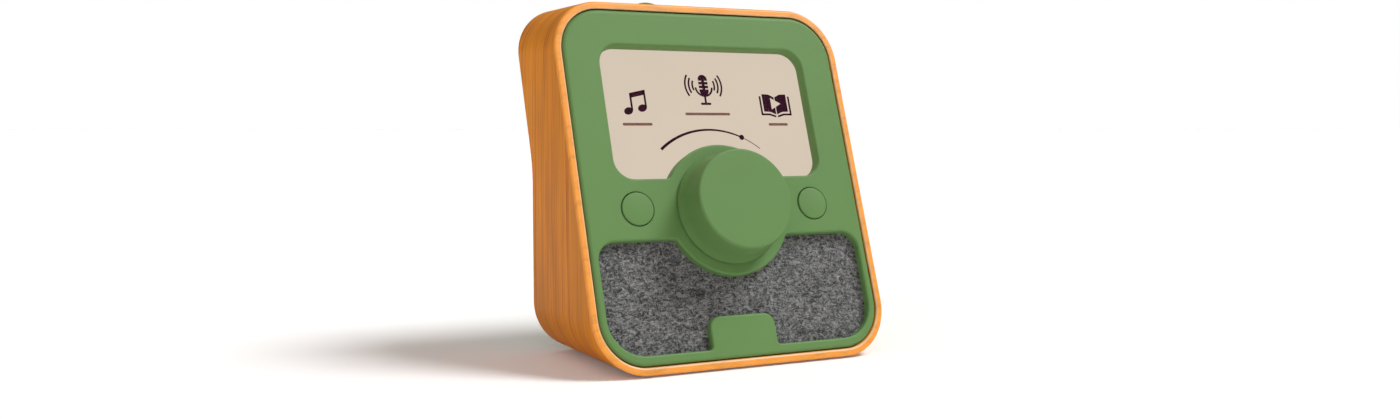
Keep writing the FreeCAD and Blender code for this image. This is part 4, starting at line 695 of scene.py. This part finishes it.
class PLAYER_OT_stage(bpy.types.Operator):
    """Sets up the floor, the light and the camera."""

    bl_idname = "player.stage"
    bl_label = "Stage"

    def execute(self, context):
        scene = context.scene
        colours = scene.player_colours
        scene.view_settings.view_transform = "Standard"
        camera = bpy.data.objects.new("camera", bpy.data.cameras.new("camera"))
        scene.collection.objects.link(camera)
        camera.data.sensor_width, camera.data.lens = 36, 31.52
        camera.data.clip_start, camera.data.clip_end = 0.01, 50
        camera.location = (-0.2241, -0.4374, 0.0896)
        camera.rotation_mode = "QUATERNION"
        camera.rotation_quaternion = Vector((0.4558, 0.8876, -0.0673)).to_track_quat("-Z", "Y")
        scene.camera = camera

        ground = bmesh.new()
        bmesh.ops.create_circle(ground, cap_ends=True, segments=96, radius=40)
        data = bpy.data.meshes.new("studio_floor")
        ground.to_mesh(data)
        ground.free()
        data.shade_smooth()
        floor = bpy.data.objects.new("studio_floor", data)
        scene.collection.objects.link(floor)
        data.materials.append(self.floor_material(tuple(colours.floor)))

        world = bpy.data.worlds.new("studio_world")
        world.use_nodes = True
        scene.world = world
        tree = world.node_tree
        sky = tree.nodes["Background"]
        sky.inputs["Color"].default_value = (1.0, 0.87, 0.81, 1)
        sky.inputs["Strength"].default_value = 0.31
        seen = tree.nodes.new("ShaderNodeBackground")
        seen.inputs["Color"].default_value = (1, 1, 1, 1)
        seen.inputs["Strength"].default_value = 1.0
        choose = tree.nodes.new("ShaderNodeMixShader")
        tree.links.new(tree.nodes.new("ShaderNodeLightPath").outputs["Is Camera Ray"], choose.inputs[0])
        tree.links.new(sky.outputs[0], choose.inputs[1])
        tree.links.new(seen.outputs[0], choose.inputs[2])
        tree.links.new(choose.outputs[0], tree.nodes["World Output"].inputs["Surface"])

        self.lamp("key_light", (0.506, -0.26, 0.82), 24, 2.5, (0.94, 0.98, 1.0))
        self.lamp("front_light", (-0.62, -0.80, 0.62), 50, 0.50, (1.0, 1.0, 1.0))
        return {"FINISHED"}

    def floor_material(self, colour):
        """A pale, finely grained floor that takes the shadow."""
        made = Finish("pale_floor", colour, 0.9, specular_ior_level=0.0)
        grain = made.noise((40, 40, 40), 2, 0.5)
        made.paint(made.ramp(grain, [(0.3, shade(colour, 0.99)), (0.7, shade(colour, 1.01))]))
        made.shader.inputs["Emission Color"].default_value = (0.94, 1.0, 1.0, 1)
        seen = made.nodes.new("ShaderNodeMath")
        seen.operation = "MULTIPLY"
        seen.inputs[1].default_value = 0.09
        path = made.nodes.new("ShaderNodeLightPath")
        made.links.new(path.outputs["Is Camera Ray"], seen.inputs[0])
        made.links.new(seen.outputs[0], made.shader.inputs["Emission Strength"])
        return made.material

    @staticmethod
    def lamp(name, towards, spread, power, colour):
        data = bpy.data.lights.new(name, "SUN")
        data.angle, data.energy, data.color = math.radians(spread), power, colour
        lamp = bpy.data.objects.new(name, data)
        lamp.rotation_mode = "QUATERNION"
        lamp.rotation_quaternion = Vector(towards).to_track_quat("Z", "Y")
        bpy.context.scene.collection.objects.link(lamp)


class PLAYER_OT_wood_shell(bpy.types.Operator):
    """Bends the wooden tube, with its leaning front, its bent back and rounded rims."""

    bl_idname = "player.wood_shell"
    bl_label = "Wood shell"

    def execute(self, context):
        plan = layout()
        size = plan.size
        outer, inner = size.rim_edge, size.rim_inner_edge
        profile = [(i, "front", d) for i, d in rounding(outer)]
        profile += [(size.shell_wall - i, "front", d) for i, d in reversed(rounding(inner))]
        profile += [(size.shell_wall - i, "back", d) for i, d in rounding(inner)]
        profile += [(i, "back", d) for i, d in reversed(rounding(outer))]
        steps = len(rounding(outer))
        # the rounded inner edges of the rim take the pale colour, a painted highlight of the light they catch
        wood, rim, pale = 0, 1, 2
        finishes = ([rim] * steps + [pale] * (steps - 1) + [wood]
                    + [pale] * (steps - 1) + [rim] * steps + [wood])
        loops = []
        for offset, end, set_back in profile:
            loop = []
            for x, z in section(size.shell_width / 2 - offset, size.shell_height / 2 - offset,
                                size.shell_radius - offset, BEND_HEIGHTS, 18):
                y = plan.front_y(z, set_back) if end == "front" else plan.back_y(z, set_back)
                loop.append(Vector((x, y, plan.mid_z + z)))
            loops.append(loop)
        mesh = bmesh.new()
        skin(mesh, loops, True, finishes)
        colours = context.scene.player_colours
        materials = [finish("wood"), rim_finish("wood_rim", tuple(colours.wood_rim)),
                     rim_finish("painted_rim_highlight", tuple(colours.painted_rim_highlight))]
        shell = finish_piece("bent_wood_shell", mesh, materials, "housing", ["wood_shell"])

        cutter = bmesh.new()
        hole = size.top_radius + size.button_gap
        bevel, past = 0.0006, 0.0014
        turned(cutter, about_z(-size.top_place, plan.mid_y + size.top_back), [
            (0, plan.mid_z), (hole, plan.mid_z), (hole, plan.shell_top - bevel),
            (hole + bevel, plan.shell_top), (hole + bevel + past, plan.shell_top + past),
            (0, plan.shell_top + past)])
        low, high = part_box("rubber_feet")
        below, seat = -0.001, size.foot_proud + size.foot_sunk
        for x in (low.x + size.foot_radius, high.x - size.foot_radius):
            for y in (low.y + size.foot_radius, high.y - size.foot_radius):
                turned(cutter, about_z(x, y), [
                    (0, below), (size.foot_radius, below), (size.foot_radius, seat), (0, seat)])
        carve(shell, cutter)
        return {"FINISHED"}


class PLAYER_OT_front_panel(bpy.types.Operator):
    """Moulds the green face with its windows, tab, button wells and skirt."""

    bl_idname = "player.front_panel"
    bl_label = "Front panel"

    def execute(self, context):
        plan = layout()
        size = plan.size
        mesh = bmesh.new()

        def outline(offset, depth):
            points = []
            for x, z in section(plan.bore_w / 2 - offset, plan.bore_h / 2 - offset,
                                plan.bore_r - offset, (), 18):
                points.append(Vector((x, plan.front_y(z, depth), plan.mid_z + z)))
            return points

        edge = [(size.seat_gap + i, d) for i, d in reversed(rounding(size.face_edge, 7))]
        inner = size.seat_gap + size.skirt_thick
        walls = edge + [(size.seat_gap, size.skirt_depth), (inner, size.skirt_depth), (inner, size.face_thick)]
        rows = skin(mesh, [outline(offset, depth) for offset, depth in walls])
        fronts, backs = [rows[0]], [rows[-1]]

        soft = list(reversed(rounding(size.window_edge)))
        screen = soft + [(0, size.screen_depth), (size.lens_land, size.screen_depth),
                         (size.lens_land, size.face_thick)]
        speaker = soft + [(0, size.felt_depth), (size.felt_land, size.felt_depth),
                          (size.felt_land, size.face_thick)]
        for arcs, steps in ((screen_arcs(plan), screen), (speaker_arcs(plan), speaker)):
            rows = skin(mesh, [[plan.face(x, up, depth) for x, up in arc_path(arcs, grow)]
                               for grow, depth in steps])
            fronts.append(rows[0])
            backs.append(rows[-1])
        hole = size.button_radius + size.button_gap
        outside = size.well_radius + size.well_wall
        well = [(hole + i, d) for i, d in reversed(rounding(size.well_lip, 4))]
        well += [(hole, size.face_thick), (size.well_radius, size.face_thick),
                 (size.well_radius, size.well_depth), (outside, size.well_depth), (outside, size.face_thick)]
        for x in (-plan.button_x, plan.button_x):
            rows = turned(mesh, about_face(plan, x, plan.button_up), well, 72)
            fronts.append(rows[0])
            backs.append(rows[-1])
        hub = [(size.hub_bore, 0), (size.hub_bore, size.hub_boss_depth), (size.hub_boss, size.hub_boss_depth),
               (size.hub_boss, size.face_thick)]
        rows = turned(mesh, about_face(plan, 0, plan.hub_up), hub, 64)
        fronts.append(rows[0])
        backs.append(rows[-1])
        for group in (fronts, backs):
            fill(mesh, group[0], group[1:])
        finish_piece("moulded_face", mesh, [finish("green_plastic")], "housing",
                     ["front_panel"])
        return {"FINISHED"}


class PLAYER_OT_screen(bpy.types.Operator):
    """Cuts the clear pane and draws the plain pictures, bars and gauge behind it."""

    bl_idname = "player.screen"
    bl_label = "Screen"

    def execute(self, context):
        plan = layout()
        size = plan.size
        behind = size.screen_depth + size.pane_thick
        # the pane stands clear of its seat and of the display, so no two faces share a plane
        pane_front, pane_back = size.screen_depth + 0.00002, behind - 0.00014
        mesh = bmesh.new()
        edge = arc_path(screen_arcs(plan), size.lens_land)
        rows = skin(mesh, [[plan.face(x, up, depth) for x, up in edge]
                           for depth in (pane_front, pane_back)])
        for row in rows:
            fill(mesh, row, [])
        finish_piece("clear_pane", mesh, [finish("clear_pane")], "housing", ["screen_lens"])
        colours = context.scene.player_colours
        dark = lit_finish("screen_ink", tuple(colours.ink), 0.0)
        pale = lit_finish("screen_soft_ink", tuple(colours.ink_soft), 0.1)

        def drawn(name, outlines, material, proud=0.00008):
            near, far = behind - proud, behind - 0.00003
            mesh = bmesh.new()
            for outline in outlines:
                front = [mesh.verts.new(plan.face(x / 1000, up / 1000, near)) for x, up in outline]
                back = [mesh.verts.new(plan.face(x / 1000, up / 1000, far)) for x, up in outline]
                mesh.faces.new(front)
                mesh.faces.new(list(reversed(back)))
                for i in range(len(front)):
                    j = (i + 1) % len(front)
                    mesh.faces.new((front[i], back[i], back[j], front[j]))
            finish_piece(name, mesh, [material], "housing", weighted=False)

        def arc(x, up, radius, thick, start, end, steps=24):
            angles = [math.radians(start + (end - start) * k / steps) for k in range(steps + 1)]
            near, far = radius - thick / 2, radius + thick / 2
            outer = [(x + far * math.cos(t), up + far * math.sin(t)) for t in angles]
            inner = [(x + near * math.cos(t), up + near * math.sin(t)) for t in angles]
            return outer + inner[::-1]

        def oval(x, up, wide, tall, turn=0.0, steps=28):
            points = []
            for k in range(steps):
                t = 2 * math.pi * k / steps
                px, pu = wide / 2 * math.cos(t), tall / 2 * math.sin(t)
                points.append((x + px * math.cos(turn) - pu * math.sin(turn),
                               up + px * math.sin(turn) + pu * math.cos(turn)))
            return points

        def bar(x, up, wide, tall):
            radius = min(wide, tall) / 2
            points = []
            if wide >= tall:
                ends = ((x + wide / 2 - radius, up, -90), (x - wide / 2 + radius, up, 90))
            else:
                ends = ((x, up + tall / 2 - radius, 0), (x, up - tall / 2 + radius, 180))
            for ex, eu, start in ends:
                for k in range(11):
                    t = math.radians(start + 18 * k)
                    points.append((ex + radius * math.cos(t), eu + radius * math.sin(t)))
            return points

        note = [oval(-33.2, 30.1, 3.9, 2.9, 0.35), oval(-27.2, 31.3, 3.9, 2.9, 0.35),
                [(-32.0, 30.3), (-31.2, 30.3), (-31.2, 37.4), (-32.0, 37.2)],
                [(-26.0, 31.5), (-25.2, 31.5), (-25.2, 38.8), (-26.0, 38.6)],
                [(-32.0, 35.4), (-25.2, 36.9), (-25.2, 38.9), (-32.0, 37.4)]]
        drawn("note_picture", note, dark)

        x = 0.85
        capsule = bar(x, 41.2, 4.1, 8.8)
        drawn("capsule_picture", [capsule, bar(x, 34.9, 0.85, 3.2), bar(x, 33.3, 4.6, 0.95),
                                  arc(x, 40.2, 3.6, 0.8, 180, 360)]
              + [arc(x, 41.0, r, 0.75, side - spread, side + spread, 14)
                 for r, spread in ((4.9, 24), (6.5, 29), (8.1, 33)) for side in (0, 180)], dark)
        notches = [bar(x + side * 1.35, up, 1.5, 0.5) for side in (-1, 1) for up in (39.6, 41.2, 42.8)]
        drawn("capsule_notches", notches, finish("display"), 0.0001)

        middle = 32.5
        left = [(middle - 0.2, 29.0), (middle - 0.2, 36.4), (middle - 2.6, 37.6), (middle - 5.6, 37.7),
                (middle - 5.6, 30.2), (middle - 2.8, 30.1)]
        right = [(2 * middle - px, pu) for px, pu in reversed(left)]
        cover_left = [(middle - 6.3, 36.8), (middle - 7.1, 36.8), (middle - 7.1, 28.6), (middle - 3.4, 28.6),
                      (middle - 0.4, 27.7), (middle - 0.4, 28.5), (middle - 3.2, 29.4), (middle - 6.3, 29.4)]
        cover_right = [(2 * middle - px, pu) for px, pu in reversed(cover_left)]
        drawn("book_picture", [left, right, cover_left, cover_right], dark)
        drawn("play_mark", [[(middle - 1.9, 31.1), (middle + 2.6, 33.6), (middle - 1.9, 36.1)]],
              finish("display"), 0.0001)

        drawn("label_bars", [bar(-30.2, 24.7, 12.5, 1.1), bar(0.9, 29.0, 20.0, 1.1),
                             bar(32.4, 24.7, 9.0, 1.1)], pale)

        hub = plan.hub_up * 1000
        gauge = [arc(0, hub, 34.0, 1.15 - 0.06 * k, 130 - 6.5 * k, 130 - 6.5 * (k + 1) - 0.02, 8)
                 for k in range(10)]
        drawn("gauge_line", gauge, dark)
        drawn("gauge_rest", [arc(0, hub, 34.0, 0.35, 64, 50, 10)], pale)
        dot = math.radians(65)
        drawn("gauge_dot", [oval(34 * math.cos(dot), hub + 34 * math.sin(dot), 2.2, 2.2)], dark)
        return {"FINISHED"}


class PLAYER_OT_felt(bpy.types.Operator):
    """Lays the wool felt behind the speaker window, with its uneven surface."""

    bl_idname = "player.felt"
    bl_label = "Speaker felt"

    def execute(self, context):
        plan = layout()
        size = plan.size
        rim = arc_path(speaker_arcs(plan), size.felt_lap)
        rim = [p for i, p in enumerate(rim) if math.dist(p, rim[i - 1]) > 0.00002]
        count = len(rim)
        step = 0.0011
        points = [Vector(p) for p in rim]
        xs = [p[0] for p in rim]
        ups = [p[1] for p in rim]
        columns = int((max(xs) - min(xs)) / step)
        rows = int((max(ups) - min(ups)) / step)
        for i in range(columns + 1):
            for j in range(rows + 1):
                spot = Vector((i * 3.1, j * 2.7, 0.5))
                points.append(Vector((min(xs) + i * step + 0.0003 * noise.noise(spot),
                                      min(ups) + j * step + 0.0003 * noise.noise(spot + Vector((9, 4, 2))))))
        edges = [(i, (i + 1) % count) for i in range(count)]
        spots, _, faces, origin, _, _ = delaunay_2d_cdt(points, edges, [], 1, 1e-7)
        used = sorted({i for face in faces for i in face})
        index = {old: new for new, old in enumerate(used)}
        border = {i for i, sources in enumerate(origin) if any(k < count for k in sources)}
        mesh = bmesh.new()
        front, back = [], []
        for i in used:
            x, up = spots[i]
            clear = min(math.hypot(x - p[0], up - p[1]) for p in rim) if i not in border else 0.0
            rise = min(1.0, max(0.0, (clear - 0.0012) / 0.004))
            rise = rise * rise * (3 - 2 * rise)
            spot = Vector((x, up, 0)) * 1000
            wave = 0.00016 * noise.noise(spot * 0.35) + 0.00011 * noise.noise(spot * 0.9)
            front.append(mesh.verts.new(plan.face(x, up, size.felt_depth + 0.00004 - rise * (0.00022 + wave))))
            back.append(mesh.verts.new(plan.face(x, up, size.felt_depth + size.felt_thick - 0.00004)))
        for face in faces:
            mesh.faces.new([front[index[i]] for i in face])
            mesh.faces.new([back[index[i]] for i in reversed(face)])
        pair = {vert: back[k] for k, vert in enumerate(front)}
        for edge in [e for e in mesh.edges if e.is_boundary and e.verts[0] in pair]:
            one, two = edge.verts
            mesh.faces.new((one, two, pair[two], pair[one]))
        felt = finish_piece("felt_sheet", mesh, [finish("felt")], "housing", ["speaker_felt"],
                            sharp=50, weighted=False)
        return {"FINISHED"}


class PLAYER_OT_knob(bpy.types.Operator):
    """Turns the hollow knob with its soft top edge."""

    bl_idname = "player.knob"
    bl_label = "Knob"

    def execute(self, context):
        plan = layout()
        size = plan.size
        top, gap, roof = -size.knob_proud, -size.knob_gap, size.knob_roof - size.knob_proud
        profile = [(0, top), (size.knob_top_radius * 0.6, top)]
        profile += [(size.knob_top_radius - i, top + d) for i, d in reversed(rounding(size.knob_edge, 9))]
        start, foot = top + size.knob_edge, gap - size.small_edge
        for step in range(1, 13):
            depth = start + (foot - start) * step / 12
            share = (depth - top) / (gap - top)
            flare = size.knob_flare * max(0.0, (share - 0.55) / 0.45) ** 2.4
            taper = (size.knob_radius - size.knob_top_radius) * share
            profile.append((size.knob_top_radius + taper + flare, depth))
        profile += [(profile[-1][0] - i, gap - d) for i, d in rounding(size.small_edge, 4)[1:]]
        profile += [(size.knob_radius - size.knob_wall, gap), (size.knob_top_radius - size.knob_wall, roof),
                    (size.knob_boss, roof), (size.knob_boss, -size.knob_boss_low),
                    (size.shaft_bore, -size.knob_boss_low),
                    (size.shaft_bore, -size.shaft_end), (0, -size.shaft_end)]
        mesh = bmesh.new()
        turned(mesh, about_face(plan, 0, plan.hub_up), profile, 160)
        finish_piece("turning_knob", mesh, [finish("green_plastic")], "knob", ["knob_cap"])
        return {"FINISHED"}


class PLAYER_OT_buttons(bpy.types.Operator):
    """Makes the two front buttons and the domed top button."""

    bl_idname = "player.buttons"
    bl_label = "Buttons"

    def execute(self, context):
        plan = layout()
        size = plan.size
        crown = [(0.0, -size.button_proud - size.button_dome)]
        edge = size.small_edge
        for k in range(1, 8):
            share = k / 8
            crown.append((size.button_radius * share,
                          -size.button_proud - size.button_dome * (1 - share * share)))
        rim_depth = -size.button_proud - size.button_dome * (1 - (1 - edge / size.button_radius) ** 2)
        crown += [(size.button_radius - i, rim_depth + d) for i, d in reversed(rounding(edge, 5))]
        back = size.flange_depth + size.flange_thick
        stem = [(size.button_radius, size.flange_depth), (size.flange_radius, size.flange_depth),
                (size.flange_radius, back), (size.stem_radius, back), (size.stem_radius, size.stem_depth),
                (0, size.stem_depth)]
        for name, x in (("left_button", -plan.button_x), ("right_button", plan.button_x)):
            mesh = bmesh.new()
            turned(mesh, about_face(plan, x, plan.button_up), crown + stem, 96)
            finish_piece(name + "_cap", mesh, [finish("green_plastic")], name, [name])

        base = plan.shell_top + size.top_proud - size.top_dome
        dome = [(size.top_radius * k / 12, base + size.top_dome * (1 - (k / 12) ** 2)) for k in range(12)]
        dome += [(size.top_radius * 0.975, base + size.top_dome * 0.06), (size.top_radius, base - 0.0003)]
        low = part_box("top_button")[0].z
        flange = plan.shell_top - size.shell_wall - size.top_flange_drop
        under, wide = flange - size.top_flange_thick, size.top_radius + size.top_flange_out
        dome += [(size.top_radius, flange), (wide, flange), (wide, under), (size.stem_radius, under),
                 (size.stem_radius, low), (0, low)]
        mesh = bmesh.new()
        turned(mesh, about_z(-size.top_place, plan.mid_y + size.top_back), dome, 96)
        finish_piece("top_button_cap", mesh, [finish("green_plastic")], "top_button",
                     ["top_button"])
        return {"FINISHED"}


class PLAYER_OT_rear_cover(bpy.types.Operator):
    """Moulds the bent rear cover with its screw wells and socket openings."""

    bl_idname = "player.rear_cover"
    bl_label = "Rear cover"

    def execute(self, context):
        plan = layout()
        size = plan.size
        inner, deep = size.seat_gap + size.cover_skirt, plan.bore_r - 0.0008
        walls = [(deep, size.cover_inset)]
        walls += [(size.seat_gap + i, size.cover_inset + d) for i, d in reversed(rounding(size.cover_edge))]
        inner_face = size.cover_inset + size.cover_thick
        walls += [(size.seat_gap, size.cover_skirt_end), (inner, size.cover_skirt_end),
                  (inner, inner_face), (deep, inner_face)]
        loops = []
        for offset, inset in walls:
            loops.append([Vector((x, plan.back_y(z, inset), plan.mid_z + z)) for x, z in
                          section(plan.bore_w / 2 - offset, plan.bore_h / 2 - offset,
                                  plan.bore_r - offset, BEND_HEIGHTS)])
        mesh = bmesh.new()
        rows = skin(mesh, loops)
        for row in (rows[0], rows[-1]):
            last = len(row) - 1
            for k in range(len(row) // 2 - 1):
                mesh.faces.new((row[k], row[k + 1], row[last - k - 1], row[last - k]))
        cover = finish_piece("bent_rear_cover", mesh, [finish("green_plastic")], "housing",
                             ["rear_cover"])

        cutter = bmesh.new()
        low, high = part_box("cover_screws")
        head = size.screw_head
        posts = [(x, z) for x in (low.x + head, high.x - head) for z in (low.z + head, high.z - head)]
        well, outside = size.screw_well, size.screw_well + size.screw_well_wall
        inwards, outwards = 0.0055, 0.006
        lip_in, lip_out, lip_wide = 0.0004, 0.0008, 0.0007
        for x, z in posts:
            surface = plan.back_y(z - plan.mid_z, size.cover_inset)
            turned(cutter, about_y(x, z), [
                (0, surface - inwards), (well, surface - inwards), (well, surface - lip_in),
                (well + lip_wide, surface + lip_out), (well + lip_wide, surface + outwards),
                (0, surface + outwards)], 48)
        usb_low, usb_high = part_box("usb_socket")
        middle, half = (usb_low + usb_high) / 2, (usb_high - usb_low) / 2
        gap, side = size.seat_gap, half.z + size.seat_gap
        ring = []
        for end, start in ((1, -90), (-1, 90)):
            for k in range(13):
                t = math.radians(start + 15 * k)
                ring.append((middle.x + end * (half.x + gap - side) + side * math.cos(t),
                             middle.z + side * math.sin(t)))
        inwards, outwards = 0.006, 0.01
        ends = (usb_high.y - inwards, usb_high.y + outwards)
        for row in skin(cutter, [[Vector((x, y, z)) for x, z in ring] for y in ends]):
            cutter.faces.new(row)
        jack_low, jack_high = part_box("headphone_socket")
        jack = (jack_low + jack_high) / 2
        lip_start, lip_end, lip_wide = 0.0001, 0.0005, 0.0004
        turned(cutter, about_y(jack.x, jack.z), [
            (0, jack_high.y - inwards), (size.jack_hole, jack_high.y - inwards),
            (size.jack_hole, jack_high.y + lip_start), (size.jack_hole + lip_wide, jack_high.y + lip_end),
            (size.jack_hole + lip_wide, jack_high.y + outwards), (0, jack_high.y + outwards)], 48)
        carve(cover, cutter)

        mesh = bmesh.new()
        rim_drop, floor_thick = 0.0016, 0.002
        for x, z in posts:
            surface = plan.back_y(z - plan.mid_z, size.cover_inset)
            floor = surface - size.screw_well_deep
            ring = [(size.screw_hole, floor), (well, floor), (well, surface - rim_drop),
                    (outside, surface - rim_drop), (outside, floor - floor_thick),
                    (size.screw_hole, floor - floor_thick), (size.screw_hole, floor)]
            turned(mesh, about_y(x, z), ring, 48)
        bmesh.ops.remove_doubles(mesh, verts=mesh.verts, dist=1e-7)
        finish_piece("screw_wells", mesh, [finish("green_plastic")], "housing")
        return {"FINISHED"}


class PLAYER_OT_inner_parts(bpy.types.Operator):
    """Gives every piece that stays as the CAD part made it the finish of its slot."""

    bl_idname = "player.inner_parts"
    bl_label = "Inner parts"

    def execute(self, context):
        slots = {row["node"]: row["material_slot"] for row in frame["record"]["subparts"]}
        for name, node in frame["nodes"].items():
            if node.hide_render:
                continue
            material = finish(slots[name])
            if len(node.data.materials) == 0:
                node.data.materials.append(material)
            for slot in node.material_slots:
                slot.material = material
        return {"FINISHED"}


class PLAYER_PT_panel(bpy.types.Panel):
    """Lists the steps and the sizes."""

    bl_idname = "PLAYER_PT_panel"
    bl_label = "Audio player"
    bl_space_type = "VIEW_3D"
    bl_region_type = "UI"
    bl_category = "Player"

    def draw(self, context):
        for step in STEPS:
            self.layout.operator(step.bl_idname)
        for group in (context.scene.player_sizes, context.scene.player_colours):
            box = self.layout.box()
            for name in group.__annotations__:
                box.prop(group, name)


STEPS = (PLAYER_OT_stage, PLAYER_OT_wood_shell, PLAYER_OT_front_panel, PLAYER_OT_screen,
         PLAYER_OT_felt, PLAYER_OT_knob, PLAYER_OT_buttons, PLAYER_OT_rear_cover, PLAYER_OT_inner_parts)
CLASSES = (PlayerSizes, PlayerColours, *STEPS, PLAYER_PT_panel)


def register():
    for made in CLASSES:
        bpy.utils.register_class(made)
    bpy.types.Scene.player_sizes = PointerProperty(type=PlayerSizes)
    bpy.types.Scene.player_colours = PointerProperty(type=PlayerColours)


def unregister():
    del bpy.types.Scene.player_sizes
    del bpy.types.Scene.player_colours
    for made in reversed(CLASSES):
        bpy.utils.unregister_class(made)


def main():
    register()
    bpy.ops.player.stage()
    bpy.ops.player.wood_shell()
    bpy.ops.player.front_panel()
    bpy.ops.player.screen()
    bpy.ops.player.felt()
    bpy.ops.player.knob()
    bpy.ops.player.buttons()
    bpy.ops.player.rear_cover()
    bpy.ops.player.inner_parts()


if __name__ == "__main__":
    main()
